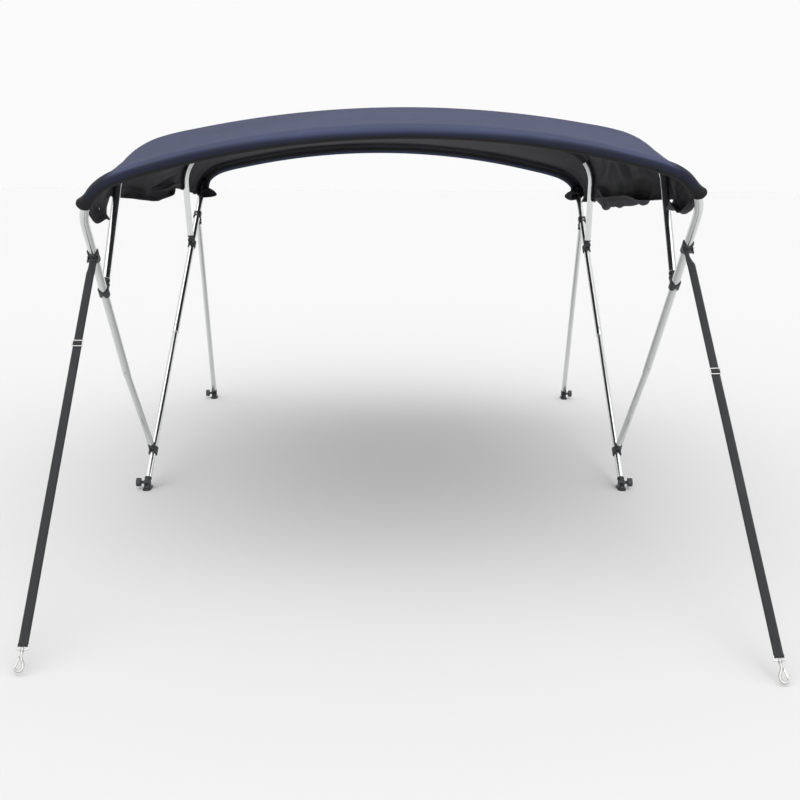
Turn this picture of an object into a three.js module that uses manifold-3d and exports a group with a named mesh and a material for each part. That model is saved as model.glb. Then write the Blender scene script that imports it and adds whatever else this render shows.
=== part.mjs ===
// Bimini top: a sewn canopy on a folding frame of four bent bows.
// The frame stands on four deck hinges, and two webbing straps run from its front bow to snap hooks.
// Millimetres. +X is to the right, +Y runs from the front of the canopy to its rear, +Z is up.
import * as THREE from "three";
import { mergeVertices } from "three/addons/utils/BufferGeometryUtils.js";
import Module from "manifold-3d";

const wasm = await Module();
wasm.setup();

// Driving dimensions
const GAP = 0.4;
const SLEEVE_GAP = 0.3;
const TUBE_RADIUS = 12.7;
const LEG_RADIUS = 11.2;
const TUBE_SIDES = 10;

// Deck hinges, with the pivots of the main bow at y = 0
const PIVOT_HEIGHT = 24;
const MAIN_HALF_SPAN = 876;
const MAIN_FOOT_SHIFT = -18;
const REAR_PIVOT_Y = 1528;
const REAR_HALF_SPAN = 880;
const REAR_FOOT_SHIFT = 15;
const HINGE_BASE = { width: 30, length: 68, thickness: 5, holeRadius: 3.5, holeSpacing: 48 };
const HINGE_LUG = { thickness: 5, radius: 10 };

// Eye ends and jaw slides
const FORK_GAP = 12.6;
const TONGUE_THICKNESS = 10.8;
const TONGUE_RADIUS = 9;
const CAP_START = 14;
const CAP_LENGTH = 6;
const CAP_RADIUS = 13;
const PIN_RADIUS = 4;
const PIN_SIDES = 8;
const EYE_BORE = 5.1;
const SLIDE = { radius: 17, height: 30, saddleDepth: 6, jawReach: 28 };
const STRAP_SLIDE = { height: 40, saddleDepth: 9 };

// Thumb screws of the deck hinges
const KNOB = { neck: 6.3, neckLength: 12, head: 16.3, thickness: 16, lobes: 8 };

// Places along the legs, as heights above the deck
const HEIGHT = {
  frontFoot: 116, mainJoint: 494, third: 816, pole: 932,
  frontJoint: 481, second: 809, strap: 933,
};

// Each bow is a flat arch on two straight legs. Its plane leans by `lean` mm in Y for each mm in Z.
// `crown` is the height of the tube's axis at the middle, `arch` the radius of the top and `corner` that of
// the bends beside it, `halfWidth` the half width where the legs end. `tilt` raises the right side and lowers
// the left side by that much, and `shift` moves the top sideways: the frame stands slightly racked.
const BOWS = {
  front: {
    lean: -0.907, crown: 1269, arch: 2000, corner: 195, halfWidth: 875,
    footHalf: 890, tilt: 19, shift: -7, footShift: -18,
  },
  second: {
    lean: 0.972, crown: 1350, arch: 2500, corner: 215, halfWidth: 897,
    footHalf: 890, tilt: 18, shift: -3, footShift: -8,
  },
  third: {
    lean: -0.159, crown: 1305, arch: 3500, corner: 150, halfWidth: 852,
    footHalf: 847, tilt: 4, shift: 0, footShift: 8,
  },
  main: {
    lean: 1.078, crown: 1223, arch: 2100, corner: 150, halfWidth: 838,
    footHalf: 876, tilt: -8, shift: 12, footShift: -18,
  },
};

// Canopy cloth
const CLOTH = { thickness: 2, lift: 1.6, pocket: 1.8 };
const SAG = 9;

// Sewn strips that hold the second and third bow under the canopy, and how many steps round the corner each
// of them reaches
const POCKET_STRIP = { thickness: 1.5, clear: 1.8, turn: 76 };
const POCKET_ENDS = { second: 5, third: 3 };

// Lower edge of the canopy, a row for each fold from front to rear: its height and how far it hangs in
// from the outer side of the bows, and how far the edge curls up inside (0 hangs plain, 1 is a full roll).
const HEM = [
  { y: -800, left: 1037, right: 1065, leftIn: 2, rightIn: 4, leftCurl: 0.1, rightCurl: 0.3 },
  { y: -700, left: 1013, right: 1051, leftIn: 12, rightIn: 14, leftCurl: 0.35, rightCurl: 0.9 },
  { y: -580, left: 1019, right: 1045, leftIn: 8, rightIn: 12, leftCurl: 0.3, rightCurl: 0.8 },
  { y: -470, left: 1009, right: 1053, leftIn: 4, rightIn: 5, leftCurl: 0.2, rightCurl: 0.4 },
  { y: -360, left: 1015, right: 1067, leftIn: 0, rightIn: 0, leftCurl: 0, rightCurl: 0 },
  { y: -290, left: 1071, right: 1073, leftIn: 0, rightIn: 0, leftCurl: 0, rightCurl: 0 },
  { y: -150, left: 1063, right: 1063, leftIn: 6, rightIn: 8, leftCurl: 0.2, rightCurl: 0.7 },
  { y: 20, left: 1047, right: 1041, leftIn: 10, rightIn: 14, leftCurl: 0.3, rightCurl: 0.9 },
  { y: 190, left: 1033, right: 1027, leftIn: 16, rightIn: 12, leftCurl: 0.4, rightCurl: 0.9 },
  { y: 360, left: 1035, right: 1015, leftIn: 8, rightIn: 18, leftCurl: 0.2, rightCurl: 0.9 },
  { y: 540, left: 1045, right: 1011, leftIn: 12, rightIn: 14, leftCurl: 0.3, rightCurl: 0.8 },
  { y: 700, left: 1063, right: 1015, leftIn: 4, rightIn: 6, leftCurl: 0.1, rightCurl: 0.4 },
  { y: 840, left: 1051, right: 1013, leftIn: 0, rightIn: 0, leftCurl: 0, rightCurl: 0 },
  { y: 950, left: 1033, right: 1005, leftIn: 6, rightIn: 8, leftCurl: 0.2, rightCurl: 0.4 },
  { y: 1040, left: 1019, right: 1005, leftIn: 0, rightIn: 0, leftCurl: 0, rightCurl: 0 },
  { y: 1085, left: 1023, right: 1021, leftIn: 0, rightIn: 0, leftCurl: 0, rightCurl: 0 },
  { y: 1110, left: 1089, right: 1053, leftIn: 0, rightIn: 0, leftCurl: 0, rightCurl: 0 },
];
const CURL = { angle: 178, short: 62, long: 108, turned: 0.55 };

// The front sleeve ends on the bend of its bow, at `end`. `reach` is where the side of the canopy starts and
// `hem` where the canopy's lower edge meets the bow, all as places across the bow.
const FRONT_SLEEVE = {
  left: { reach: 1.46, end: 1.63, hem: 1.8 },
  right: { reach: 1.42, end: 1.61, hem: 1.9 },
};

// Loose lower ends of the front and rear sleeves: `by` how much the cloth stands off the leg, `from` and `to`
// the part of the way round it, how `sharp` its fold is, the place across the bow where it begins (`start`, 2
// at the leg's top and 3 at the hem), how `late` it grows and how much of it has gone again at the hem (`ebb`)
const FLARE = {
  frontLeft: { by: 12, from: -0.35, to: 0.5, sharp: 1, start: 2, late: 2.6, ebb: 0 },
  frontRight: { by: 12, from: -0.35, to: 0.5, sharp: 1, start: 2, late: 2.6, ebb: 0 },
  rearLeft: { by: 60, from: 0.5, to: 1.04, sharp: 2, start: 1.5, late: 1.1, ebb: 0 },
  rearRight: { by: 64, from: 0.4, to: 1.1, sharp: 2, start: 1.65, late: 0.7, ebb: 0.7 },
};

// Straps and their fittings
const STRAP = { width: 24, thickness: 1.6, eyeReach: 24, barRadius: 2.2, layerGap: 0.6, foldBack: 46 };
const GLIDE_AT = { left: 0.25, right: 0.342 };
const STRAP_END = {
  left: new THREE.Vector3(-900, -1450, 60),
  right: new THREE.Vector3(907, -1512, 55),
};
const GLIDE = { width: 32, height: 21, thickness: 2.8, slot: 5.6, bar: 3.8 };
const LOOP = { width: 32, height: 14, wire: 3.4, bossRadius: 5, boreRadius: 3 };
const HOOK = { stud: 2.6, head: 4.2, collar: 5.2, wire: 3.3 };
const GATE = {
  thickness: 4,
  outline: [
    [-3.9, 28], [-7.2, 27], [-11.5, 40], [-17, 45], [-16, 48.5],
    [-12.4, 48.5], [-11.2, 54.4], [-7.8, 54.6], [-3.9, 37],
  ],
};
const STUD = { radius: 4.8, thickness: 2.4, clear: 0.95 };

// Finishes
const FINISH = {
  canopy: { color: 0x454c66, roughness: 0.86, metalness: 0 },
  pocket: { color: 0x3a4058, roughness: 0.88, metalness: 0 },
  tube: { color: 0xd5d8da, roughness: 0.22, metalness: 1 },
  nylon: { color: 0x1d1e20, roughness: 0.52, metalness: 0 },
  webbing: { color: 0x202226, roughness: 0.9, metalness: 0 },
  steel: { color: 0xdfe2e4, roughness: 0.16, metalness: 1 },
};

// The origin of the part: the point of the deck under the middle of everything
const ORIGIN = { x: 0.5, y: 1 };

const top = new THREE.Group();
top.position.set(-ORIGIN.x, -ORIGIN.y, 0);
const X = new THREE.Vector3(1, 0, 0);

const mix = (a, b, f) => a + (b - a) * f;
const radians = (degrees) => degrees * Math.PI / 180;
const smooth = (f) => f * f * (3 - 2 * f);

// Solids

function merged(geometry) {
  const bare = geometry.clone();
  bare.deleteAttribute("normal");
  bare.deleteAttribute("uv");
  return mergeVertices(bare, 1e-4);
}

// Turns the faces outwards where a sweep has left them facing in.
function outward(geometry) {
  const closed = merged(geometry);
  const points = closed.attributes.position;
  const index = closed.index;
  const [a, b, c] = [new THREE.Vector3(), new THREE.Vector3(), new THREE.Vector3()];
  let volume = 0;
  for (let i = 0; i < index.count; i += 3) {
    a.fromBufferAttribute(points, index.getX(i));
    b.fromBufferAttribute(points, index.getX(i + 1));
    c.fromBufferAttribute(points, index.getX(i + 2));
    volume += a.dot(b.cross(c));
  }
  if (volume < 0) {
    for (let i = 0; i < index.count; i += 3) {
      const second = index.getX(i + 1);
      index.setX(i + 1, index.getX(i + 2));
      index.setX(i + 2, second);
    }
  }
  return closed;
}

function toSolid(geometry) {
  const closed = outward(geometry);
  return new wasm.Manifold(new wasm.Mesh({
    numProp: 3,
    vertProperties: new Float32Array(closed.attributes.position.array),
    triVerts: new Uint32Array(closed.index.array),
  }));
}

function fromSolid(solid) {
  const mesh = solid.getMesh();
  const geometry = new THREE.BufferGeometry();
  geometry.setAttribute("position", new THREE.BufferAttribute(new Float32Array(mesh.vertProperties), 3));
  geometry.setIndex(new THREE.BufferAttribute(new Uint32Array(mesh.triVerts), 1));
  return geometry;
}

const join = (...geometries) => fromSolid(geometries.map(toSolid).reduce((all, one) => all.add(one)));
const cut = (body, ...tools) => {
  return fromSolid(tools.map(toSolid).reduce((all, one) => all.subtract(one), toSolid(body)));
};

function add(name, geometry, finish, matrix = null) {
  const mesh = new THREE.Mesh(geometry, new THREE.MeshStandardMaterial(FINISH[finish]));
  mesh.name = name;
  if (matrix) mesh.applyMatrix4(matrix);
  top.add(mesh);
  return mesh;
}

// A cylinder along an axis, from one distance to another
function rod(axis, radius, from, to, sides = 12) {
  const geometry = new THREE.CylinderGeometry(radius, radius, to - from, sides);
  geometry.translate(0, (from + to) / 2, 0);
  if (axis === "x") geometry.rotateZ(-Math.PI / 2);
  if (axis === "z") geometry.rotateX(Math.PI / 2);
  return geometry;
}

function plate(shape, thickness, centred = true) {
  const settings = { depth: thickness, bevelEnabled: false, curveSegments: 5 };
  const geometry = new THREE.ExtrudeGeometry(shape, settings);
  if (centred) geometry.translate(0, 0, -thickness / 2);
  return geometry;
}

// A path through given stations, straight between them
class StationCurve extends THREE.Curve {
  constructor(stations) {
    super();
    this.stations = stations;
  }

  getUtoTmapping(u) {
    return u;
  }

  getPoint(t, target = new THREE.Vector3()) {
    const place = Math.min(Math.max(t, 0), 1) * (this.stations.length - 1);
    const row = Math.min(Math.floor(place), this.stations.length - 2);
    return target.lerpVectors(this.stations[row], this.stations[row + 1], place - row);
  }
}

function sweep(stations, radius, sides) {
  const section = new THREE.Shape();
  for (let i = 0; i < sides; i += 1) {
    const turn = (i + 0.5) * 2 * Math.PI / sides;
    const place = [radius * Math.cos(turn), radius * Math.sin(turn)];
    if (i === 0) section.moveTo(...place);
    else section.lineTo(...place);
  }
  section.closePath();
  const path = new StationCurve(stations);
  return outward(new THREE.ExtrudeGeometry(section, { steps: stations.length - 1, extrudePath: path }));
}

// Joins rings of equally many points into one closed body. Each ring is a thin strip, its first half the
// outer face and its second half the inner face in reverse, so each end closes with a row of quads.
function stripLoft(rings) {
  const count = rings[0].length;
  const positions = rings.flat().flatMap((p) => [p.x, p.y, p.z]);
  const index = [];
  const quad = (a, b, c, d) => index.push(a, b, c, a, c, d);
  for (let r = 0; r < rings.length - 1; r += 1) {
    for (let i = 0; i < count; i += 1) {
      const next = (i + 1) % count;
      quad(r * count + i, r * count + next, (r + 1) * count + next, (r + 1) * count + i);
    }
  }
  const last = (rings.length - 1) * count;
  for (let i = 0; i < count / 2 - 1; i += 1) {
    quad(count - 1 - i, count - 2 - i, i + 1, i);
    quad(last + i, last + i + 1, last + count - 2 - i, last + count - 1 - i);
  }
  const geometry = new THREE.BufferGeometry();
  geometry.setAttribute("position", new THREE.Float32BufferAttribute(positions, 3));
  geometry.setIndex(index);
  return outward(geometry);
}

// A frame of axes at a point: z along the given direction, x as near to +X as it can be
function frameAt(origin, direction, turned = false) {
  const z = direction.clone().normalize();
  const x = X.clone().addScaledVector(z, -X.dot(z)).normalize();
  const y = z.clone().cross(x);
  if (turned) {
    x.negate();
    y.negate();
  }
  return new THREE.Matrix4().makeBasis(x, y, z).setPosition(origin);
}

// Bows

// The arch and both corners of a bow, in its own plane: how far `v` the legs end below the crown
function bowShape(bow) {
  const centre = bow.halfWidth - bow.corner;
  const arm = bow.arch - bow.corner;
  return { centre, turn: Math.asin(centre / arm), legEnd: Math.sqrt(arm * arm - centre * centre) - bow.arch };
}

const rise = (bow) => 1 / Math.hypot(1, bow.lean);
const legTop = (bow) => bow.crown + bowShape(bow).legEnd * rise(bow);

// A point of the bow's axis. `across` runs from 0 at the crown over 1 at the shoulder to 2 at the leg's top,
// and past 2 the height is given; `side` is -1 on the left and 1 on the right.
function bowPoint(bow, side, across, height = null) {
  const { centre, turn, legEnd } = bowShape(bow);
  let x = bow.halfWidth;
  let v = legEnd;
  if (across <= 1) {
    x = bow.arch * Math.sin(turn * across);
    v = bow.arch * (Math.cos(turn * across) - 1);
  } else if (across <= 2) {
    const angle = mix(Math.PI / 2 - turn, 0, across - 1);
    x = centre + bow.corner * Math.cos(angle);
    v = legEnd + bow.corner * Math.sin(angle);
  }
  let z = bow.crown + v * rise(bow);
  let up = 1;
  if (height !== null) {
    up = (height - PIVOT_HEIGHT) / (legTop(bow) - PIVOT_HEIGHT);
    x = mix(bow.footHalf, bow.halfWidth, up);
    z = height;
  }
  const base = bow.base ?? 0;
  const y = base + bow.lean * (z - PIVOT_HEIGHT);
  return new THREE.Vector3(
    side * x + mix(bow.footShift, bow.shift, up),
    y,
    z + bow.tilt * up * side * x / bow.halfWidth,
  );
}

const mainLeg = (side, height) => bowPoint(BOWS.main, side, 2, height);
const alongLeg = (bow, side) => bowPoint(bow, side, 2, 900).sub(bowPoint(bow, side, 2, 400)).normalize();

// The front bow's plane meets the main legs at its foot slide, the second bow's the front legs, and the
// third bow's the main legs. `base` is each plane's y at the pivots' height.
BOWS.main.base = 0;
BOWS.front.base = BOWS.main.lean * (HEIGHT.frontFoot - PIVOT_HEIGHT)
  - BOWS.front.lean * (HEIGHT.frontFoot - PIVOT_HEIGHT);
const frontY = BOWS.front.base + BOWS.front.lean * (HEIGHT.second - PIVOT_HEIGHT);
BOWS.second.base = frontY - BOWS.second.lean * (HEIGHT.second - PIVOT_HEIGHT);
const thirdY = BOWS.main.lean * (HEIGHT.third - PIVOT_HEIGHT);
BOWS.third.base = thirdY - BOWS.third.lean * (HEIGHT.third - PIVOT_HEIGHT);

const SIDES = { left: -1, right: 1 };
const CORNER_STEPS = 6;
const ARCH_STEPS = 7;

// The axis of a bow from one end to the other, with a station at each bend
function bowAxis(bow, ends) {
  const half = (side, end) => {
    const stations = [];
    for (let i = 1; i <= ARCH_STEPS; i += 1) stations.push(bowPoint(bow, side, i / ARCH_STEPS));
    for (let i = 1; i <= CORNER_STEPS; i += 1) stations.push(bowPoint(bow, side, 1 + i / CORNER_STEPS));
    stations.push(end);
    return stations;
  };
  return [...half(-1, ends.left).reverse(), bowPoint(bow, 1, 0), ...half(1, ends.right)];
}

// Where the jaws' pins are: beside the axis of the leg that a slide clamps
function jawPin(bow, side, height, turned) {
  const at = bowPoint(bow, side, 2, height);
  return new THREE.Vector3(0, SLIDE.jawReach, 0).applyMatrix4(frameAt(at, alongLeg(bow, side), turned));
}

const TUBE_START = CAP_START + CAP_LENGTH + GAP;
const towards = (from, to, distance) => from.clone().add(to.clone().sub(from).setLength(distance));
const pins = {};
for (const [name, side] of Object.entries(SIDES)) {
  pins[name] = {
    main: new THREE.Vector3(side * MAIN_HALF_SPAN + MAIN_FOOT_SHIFT, 0, PIVOT_HEIGHT),
    rear: new THREE.Vector3(side * REAR_HALF_SPAN + REAR_FOOT_SHIFT, REAR_PIVOT_Y, PIVOT_HEIGHT),
    front: jawPin(BOWS.main, side, HEIGHT.frontFoot, true),
    third: jawPin(BOWS.main, side, HEIGHT.third, true),
    pole: jawPin(BOWS.main, side, HEIGHT.pole, false),
    second: jawPin(BOWS.front, side, HEIGHT.second, false),
  };
}

// Tubes: bows that end in an eye, or in the telescoping joint over their lower legs
function addTubes() {
  const split = { front: HEIGHT.frontJoint, main: HEIGHT.mainJoint };
  for (const [name, bow] of Object.entries(BOWS)) {
    const ends = {};
    for (const [word, side] of Object.entries(SIDES)) {
      const pin = pins[word][name];
      const high = bowPoint(bow, side, 2);
      if (!split[name]) {
        ends[word] = towards(pin, high, TUBE_START);
        continue;
      }
      const joint = bowPoint(bow, side, 2, split[name]);
      ends[word] = joint;
      const start = towards(pin, joint, TUBE_START);
      const end = towards(joint, pin, GAP);
      add(`leg_${name}_${word}`, sweep([start, end], LEG_RADIUS, TUBE_SIDES), "tube");
    }
    add(`bow_${name}`, sweep(bowAxis(bow, ends), TUBE_RADIUS, TUBE_SIDES), "tube");
  }
  for (const word of Object.keys(SIDES)) {
    const { pole, rear } = pins[word];
    const stations = [towards(rear, pole, TUBE_START), towards(pole, rear, TUBE_START)];
    add(`pole_${word}`, sweep(stations, LEG_RADIUS, TUBE_SIDES), "tube");
  }
}

// Fittings

// Black end of a tube: a cap, and a tongue that is rounded about the pin
function eyeEnd() {
  const outline = new THREE.Shape();
  outline.absarc(0, 0, TONGUE_RADIUS, Math.PI, 2 * Math.PI, false);
  outline.lineTo(TONGUE_RADIUS, CAP_START + 1);
  outline.lineTo(-TONGUE_RADIUS, CAP_START + 1);
  outline.closePath();
  const tongue = plate(outline, TONGUE_THICKNESS);
  tongue.rotateX(Math.PI / 2);
  tongue.rotateZ(Math.PI / 2);
  const cap = rod("z", CAP_RADIUS, CAP_START, CAP_START + CAP_LENGTH, TUBE_SIDES);
  return cut(join(tongue, cap), rod("x", EYE_BORE, -TONGUE_THICKNESS, TONGUE_THICKNESS, PIN_SIDES));
}

// A lug plate in the YZ plane: rounded about the pin at (0, reach) and straight down to 0
function lug(reach, radius, thickness, offset) {
  const outline = new THREE.Shape();
  outline.absarc(0, reach, radius, 0, Math.PI, false);
  outline.lineTo(-radius, 0);
  outline.lineTo(radius, 0);
  outline.closePath();
  const geometry = plate(outline, thickness);
  geometry.rotateX(Math.PI / 2);
  geometry.rotateZ(Math.PI / 2);
  geometry.translate(offset, 0, 0);
  return geometry;
}

const LUG_OFFSET = (FORK_GAP + HINGE_LUG.thickness) / 2;
const LUG_OUTER = LUG_OFFSET + HINGE_LUG.thickness / 2;

// Corners of a bore stand off the tube's corners, so that its flats clear them by the gap.
const SLEEVE_BORE = (TUBE_RADIUS + SLEEVE_GAP) / Math.cos(Math.PI / TUBE_SIDES);
const HINGE_BORE = (PIN_RADIUS + GAP) / Math.cos(Math.PI / PIN_SIDES);

// Sleeve around a tube, with both ends scooped out so that prongs stand at its sides
function sleeve({ height, saddleDepth }) {
  const radius = SLIDE.radius;
  const scoop = radius * 0.86;
  const ends = [-1, 1].map((end) => {
    const tool = rod("y", scoop, -radius * 2, radius * 2, 8);
    tool.rotateY(Math.PI / 8);
    tool.translate(0, 0, end * (height / 2 + scoop - saddleDepth));
    return tool;
  });
  const bore = rod("z", SLEEVE_BORE, -height, height, TUBE_SIDES);
  return cut(rod("z", radius, -height / 2, height / 2, TUBE_SIDES), bore, ...ends);
}

// Jaw slide: a sleeve with two lugs and the pin between them, which holds an eye end
function jawSlide() {
  const lugs = [-1, 1].map((side) => {
    const length = SLIDE.jawReach - TUBE_RADIUS - 1;
    const geometry = lug(length, TONGUE_RADIUS, HINGE_LUG.thickness, side * LUG_OFFSET);
    geometry.rotateX(-Math.PI / 2);
    geometry.translate(0, TUBE_RADIUS + 1, 0);
    return geometry;
  });
  const pin = rod("x", PIN_RADIUS, -LUG_OUTER - 2, LUG_OUTER + 2, PIN_SIDES);
  pin.translate(0, SLIDE.jawReach, 0);
  const bore = rod("z", SLEEVE_BORE, -SLIDE.height, SLIDE.height, TUBE_SIDES);
  return cut(join(sleeve(SLIDE), ...lugs, pin), bore);
}

// Strap slide: a sleeve with two short arms and the bar that the strap loops round
function strapSlide() {
  const arms = [-1, 1].map((side) => {
    const reach = STRAP.eyeReach - TUBE_RADIUS;
    const geometry = lug(reach, 4.2, 3, side * (STRAP.width / 2 + 2.4));
    geometry.rotateX(-Math.PI / 2);
    geometry.translate(0, TUBE_RADIUS, 0);
    return geometry;
  });
  const shoulder = new THREE.BoxGeometry(STRAP.width + 7.8, 6, 14);
  shoulder.translate(0, TUBE_RADIUS - 2, 0);
  const bar = rod("x", STRAP.barRadius, -STRAP.width / 2 - 3, STRAP.width / 2 + 3, 8);
  bar.translate(0, STRAP.eyeReach, 0);
  const bore = rod("z", SLEEVE_BORE, -STRAP_SLIDE.height, STRAP_SLIDE.height, TUBE_SIDES);
  return cut(join(sleeve(STRAP_SLIDE), shoulder, ...arms, bar), bore);
}

function strapSlidePlace(word) {
  const side = SIDES[word];
  return frameAt(bowPoint(BOWS.front, side, 2, HEIGHT.strap), alongLeg(BOWS.front, side), true);
}

function addSlides() {
  const jaw = jawSlide();
  const rows = [
    { name: "slide_front", bow: BOWS.main, height: HEIGHT.frontFoot, turned: true, geometry: jaw },
    { name: "slide_third", bow: BOWS.main, height: HEIGHT.third, turned: true, geometry: jaw },
    { name: "slide_pole", bow: BOWS.main, height: HEIGHT.pole, turned: false, geometry: jaw },
    { name: "slide_second", bow: BOWS.front, height: HEIGHT.second, turned: false, geometry: jaw },
  ];
  for (const row of rows) {
    for (const [word, side] of Object.entries(SIDES)) {
      const place = frameAt(bowPoint(row.bow, side, 2, row.height), alongLeg(row.bow, side), row.turned);
      add(`${row.name}_${word}`, row.geometry, "nylon", place);
    }
  }
  const strapHolder = strapSlide();
  for (const word of Object.keys(SIDES)) {
    add(`slide_strap_${word}`, strapHolder, "nylon", strapSlidePlace(word));
  }
}

function addEyeEnds() {
  const eye = eyeEnd();
  for (const [word, side] of Object.entries(SIDES)) {
    const at = pins[word];
    const goals = {
      front: bowPoint(BOWS.front, side, 2, HEIGHT.frontJoint),
      second: bowPoint(BOWS.second, side, 2),
      third: bowPoint(BOWS.third, side, 2),
      main: mainLeg(side, HEIGHT.mainJoint),
      pole: at.rear,
      rear: at.pole,
    };
    for (const [name, goal] of Object.entries(goals)) {
      add(`eye_${name}_${word}`, eye, "nylon", frameAt(at[name], goal.clone().sub(at[name])));
    }
  }
}

// Deck hinge: a screwed base with two lugs. Its pivot is at the height of PIVOT_HEIGHT.
function deckHinge() {
  const { width, length, thickness, holeRadius, holeSpacing } = HINGE_BASE;
  const outline = new THREE.Shape();
  const straight = (length - width) / 2;
  outline.absarc(0, straight, width / 2, 0, Math.PI, false);
  outline.absarc(0, -straight, width / 2, Math.PI, 2 * Math.PI, false);
  outline.closePath();
  const base = plate(outline, thickness, false);
  const lugs = [-1, 1].map((side) => {
    return lug(PIVOT_HEIGHT, HINGE_LUG.radius, HINGE_LUG.thickness, side * LUG_OFFSET);
  });
  const webHeight = PIVOT_HEIGHT - TONGUE_RADIUS - 1;
  const web = new THREE.BoxGeometry(2 * LUG_OUTER, 2 * HINGE_LUG.radius, webHeight);
  web.translate(0, 0, webHeight / 2);
  const bore = rod("x", HINGE_BORE, -LUG_OUTER - 1, LUG_OUTER + 1, PIN_SIDES);
  bore.translate(0, 0, PIVOT_HEIGHT);
  const holes = [-1, 1].map((end) => {
    const hole = rod("z", holeRadius, -1, thickness + 1, 8);
    hole.translate(0, end * holeSpacing / 2, 0);
    return hole;
  });
  return cut(join(base, web, ...lugs), bore, ...holes);
}

// Thumb screw on the x axis: a shank through the hinge, a neck and a lobed head
function thumbScrew() {
  const start = LUG_OUTER + GAP;
  const end = start + KNOB.neckLength;
  const outline = new THREE.Shape();
  const points = KNOB.lobes * 2;
  for (let i = 0; i < points; i += 1) {
    const turn = i * 2 * Math.PI / points;
    const radius = KNOB.head * (i % 2 === 0 ? 1 : 0.9);
    const place = [radius * Math.cos(turn), radius * Math.sin(turn)];
    if (i === 0) outline.moveTo(...place);
    else outline.lineTo(...place);
  }
  outline.closePath();
  const head = plate(outline, KNOB.thickness, false);
  head.rotateY(Math.PI / 2);
  head.translate(end, 0, 0);
  const shank = rod("x", PIN_RADIUS, -LUG_OUTER, start + 1, PIN_SIDES);
  const neck = rod("x", KNOB.neck, start, end + 1, 10);
  return join(shank, neck, head);
}

function addHinges() {
  const hinge = deckHinge();
  const knob = thumbScrew();
  for (const [word, side] of Object.entries(SIDES)) {
    for (const name of ["main", "rear"]) {
      const pivot = pins[word][name];
      const base = new THREE.Matrix4().makeTranslation(pivot.x, pivot.y, 0);
      add(`deck_hinge_${name}_${word}`, hinge, "nylon", base);
      const turn = new THREE.Matrix4().makeRotationZ(side < 0 ? Math.PI : 0).setPosition(pivot);
      add(`knob_${name}_${word}`, knob, "nylon", turn);
    }
  }
}

// Canopy

// The bows in order, with the arms of the cloth between them. `at` is the fraction from one bow to the next.
const ORDER = [BOWS.front, BOWS.second, BOWS.third, BOWS.main];
const POCKET_RADIUS = TUBE_RADIUS + CLOTH.pocket + CLOTH.thickness;
const RIDGE_RADIUS = TUBE_RADIUS + CLOTH.lift + CLOTH.thickness;
const WRAP_END = 256;
const WRAP_STEPS = 7;
const SIDE_STATIONS = 7;

const wraps = Array.from({ length: WRAP_STEPS + 1 }, (_, i) => i / WRAP_STEPS);
const COLUMNS = [
  ...wraps.map((wrap) => ({ bow: 0, wrap })).reverse(),
  ...[0.13, 0.32, 0.52, 0.72, 0.88].map((at) => ({ bow: 0, at })),
  { bow: 1, at: -0.035 },
  { bow: 1, at: 0 },
  ...[0.035, 0.18, 0.36, 0.55, 0.73, 0.88].map((at) => ({ bow: 1, at })),
  { bow: 2, at: -0.05 },
  { bow: 2, at: 0 },
  ...[0.06, 0.35, 0.68].map((at) => ({ bow: 2, at })),
  ...wraps.map((wrap) => ({ bow: 3, wrap })),
];

function hemRow(y) {
  const row = Math.max(1, HEM.findIndex((entry, i) => i > 0 && entry.y >= y));
  const after = y > HEM.at(-1).y ? HEM.at(-1) : HEM[row];
  const before = y > HEM.at(-1).y ? HEM.at(-1) : HEM[row - 1];
  const span = after.y - before.y || 1;
  const f = smooth(THREE.MathUtils.clamp((y - before.y) / span, 0, 1));
  const value = {};
  for (const key of Object.keys(before)) value[key] = mix(before[key], after[key], f);
  return value;
}

// Height of the cloth's lower edge beside a bow, where it follows the leg
function hemHeight(bow, side) {
  let height = legTop(bow) - 30;
  for (let i = 0; i < 6; i += 1) {
    height = hemRow(bowPoint(bow, side, 2, height).y)[side < 0 ? "left" : "right"] - bow.tilt * side;
  }
  return height;
}

// Axes beside a bow's axis: `out` away from the inside of the arch, `fore` across its plane
function bowAxes(index, side, across, height = null) {
  const bow = ORDER[index];
  const step = 0.01;
  const point = bowPoint(bow, side, across, height);
  let along;
  if (height !== null) {
    along = bowPoint(bow, side, 2, height - 5).sub(bowPoint(bow, side, 2, height + 5)).normalize();
  } else {
    const before = bowPoint(bow, side, Math.max(across - step, 0));
    const after = bowPoint(bow, side, Math.min(across + step, 2));
    along = after.sub(before).normalize();
    if (across === 0) along.set(side, 0, side * bow.tilt / bow.halfWidth).normalize();
  }
  const fore = new THREE.Vector3(0, -rise(bow), bow.lean * rise(bow));
  const out = along.clone().cross(fore).multiplyScalar(side).normalize();
  if (out.dot(new THREE.Vector3(side * 0.6, 0, 1)) < 0) out.negate();
  return { point, out, fore, along };
}

// One place across the cloth: `side`, and either `across` on the arch or `down` the side, from 0 to 1. With
// `hem` it is where the lower edge meets the bow, which on the front bow is past the end of the sleeve.
function bowStation(index, { side, across, down = 1, hem = false }) {
  const bow = ORDER[index];
  const sleeve = FRONT_SLEEVE[side < 0 ? "left" : "right"];
  const reach = index === 0 ? sleeve.reach : 2;
  if (across !== undefined) return bowAxes(index, side, across > 1 ? mix(1, reach, across - 1) : across);
  if (index === 0) return bowAxes(index, side, hem ? sleeve.hem : mix(reach, sleeve.end, down));
  const height = mix(legTop(bow), hemHeight(bow, side), down);
  return bowAxes(index, side, 2, Math.min(height, legTop(bow) - 0.01));
}

// The cloth's outer face on a bow, at the angle where the cloth leaves it towards the neighbour
function tangentAngle(index, neighbour, station) {
  const { point, out, fore } = bowStation(index, station);
  const ahead = bowStation(neighbour, station).point.sub(point);
  return -Math.atan2(out.dot(ahead), Math.abs(fore.dot(ahead)) || 1) * Math.sign(fore.dot(ahead) || 1);
}

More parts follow.
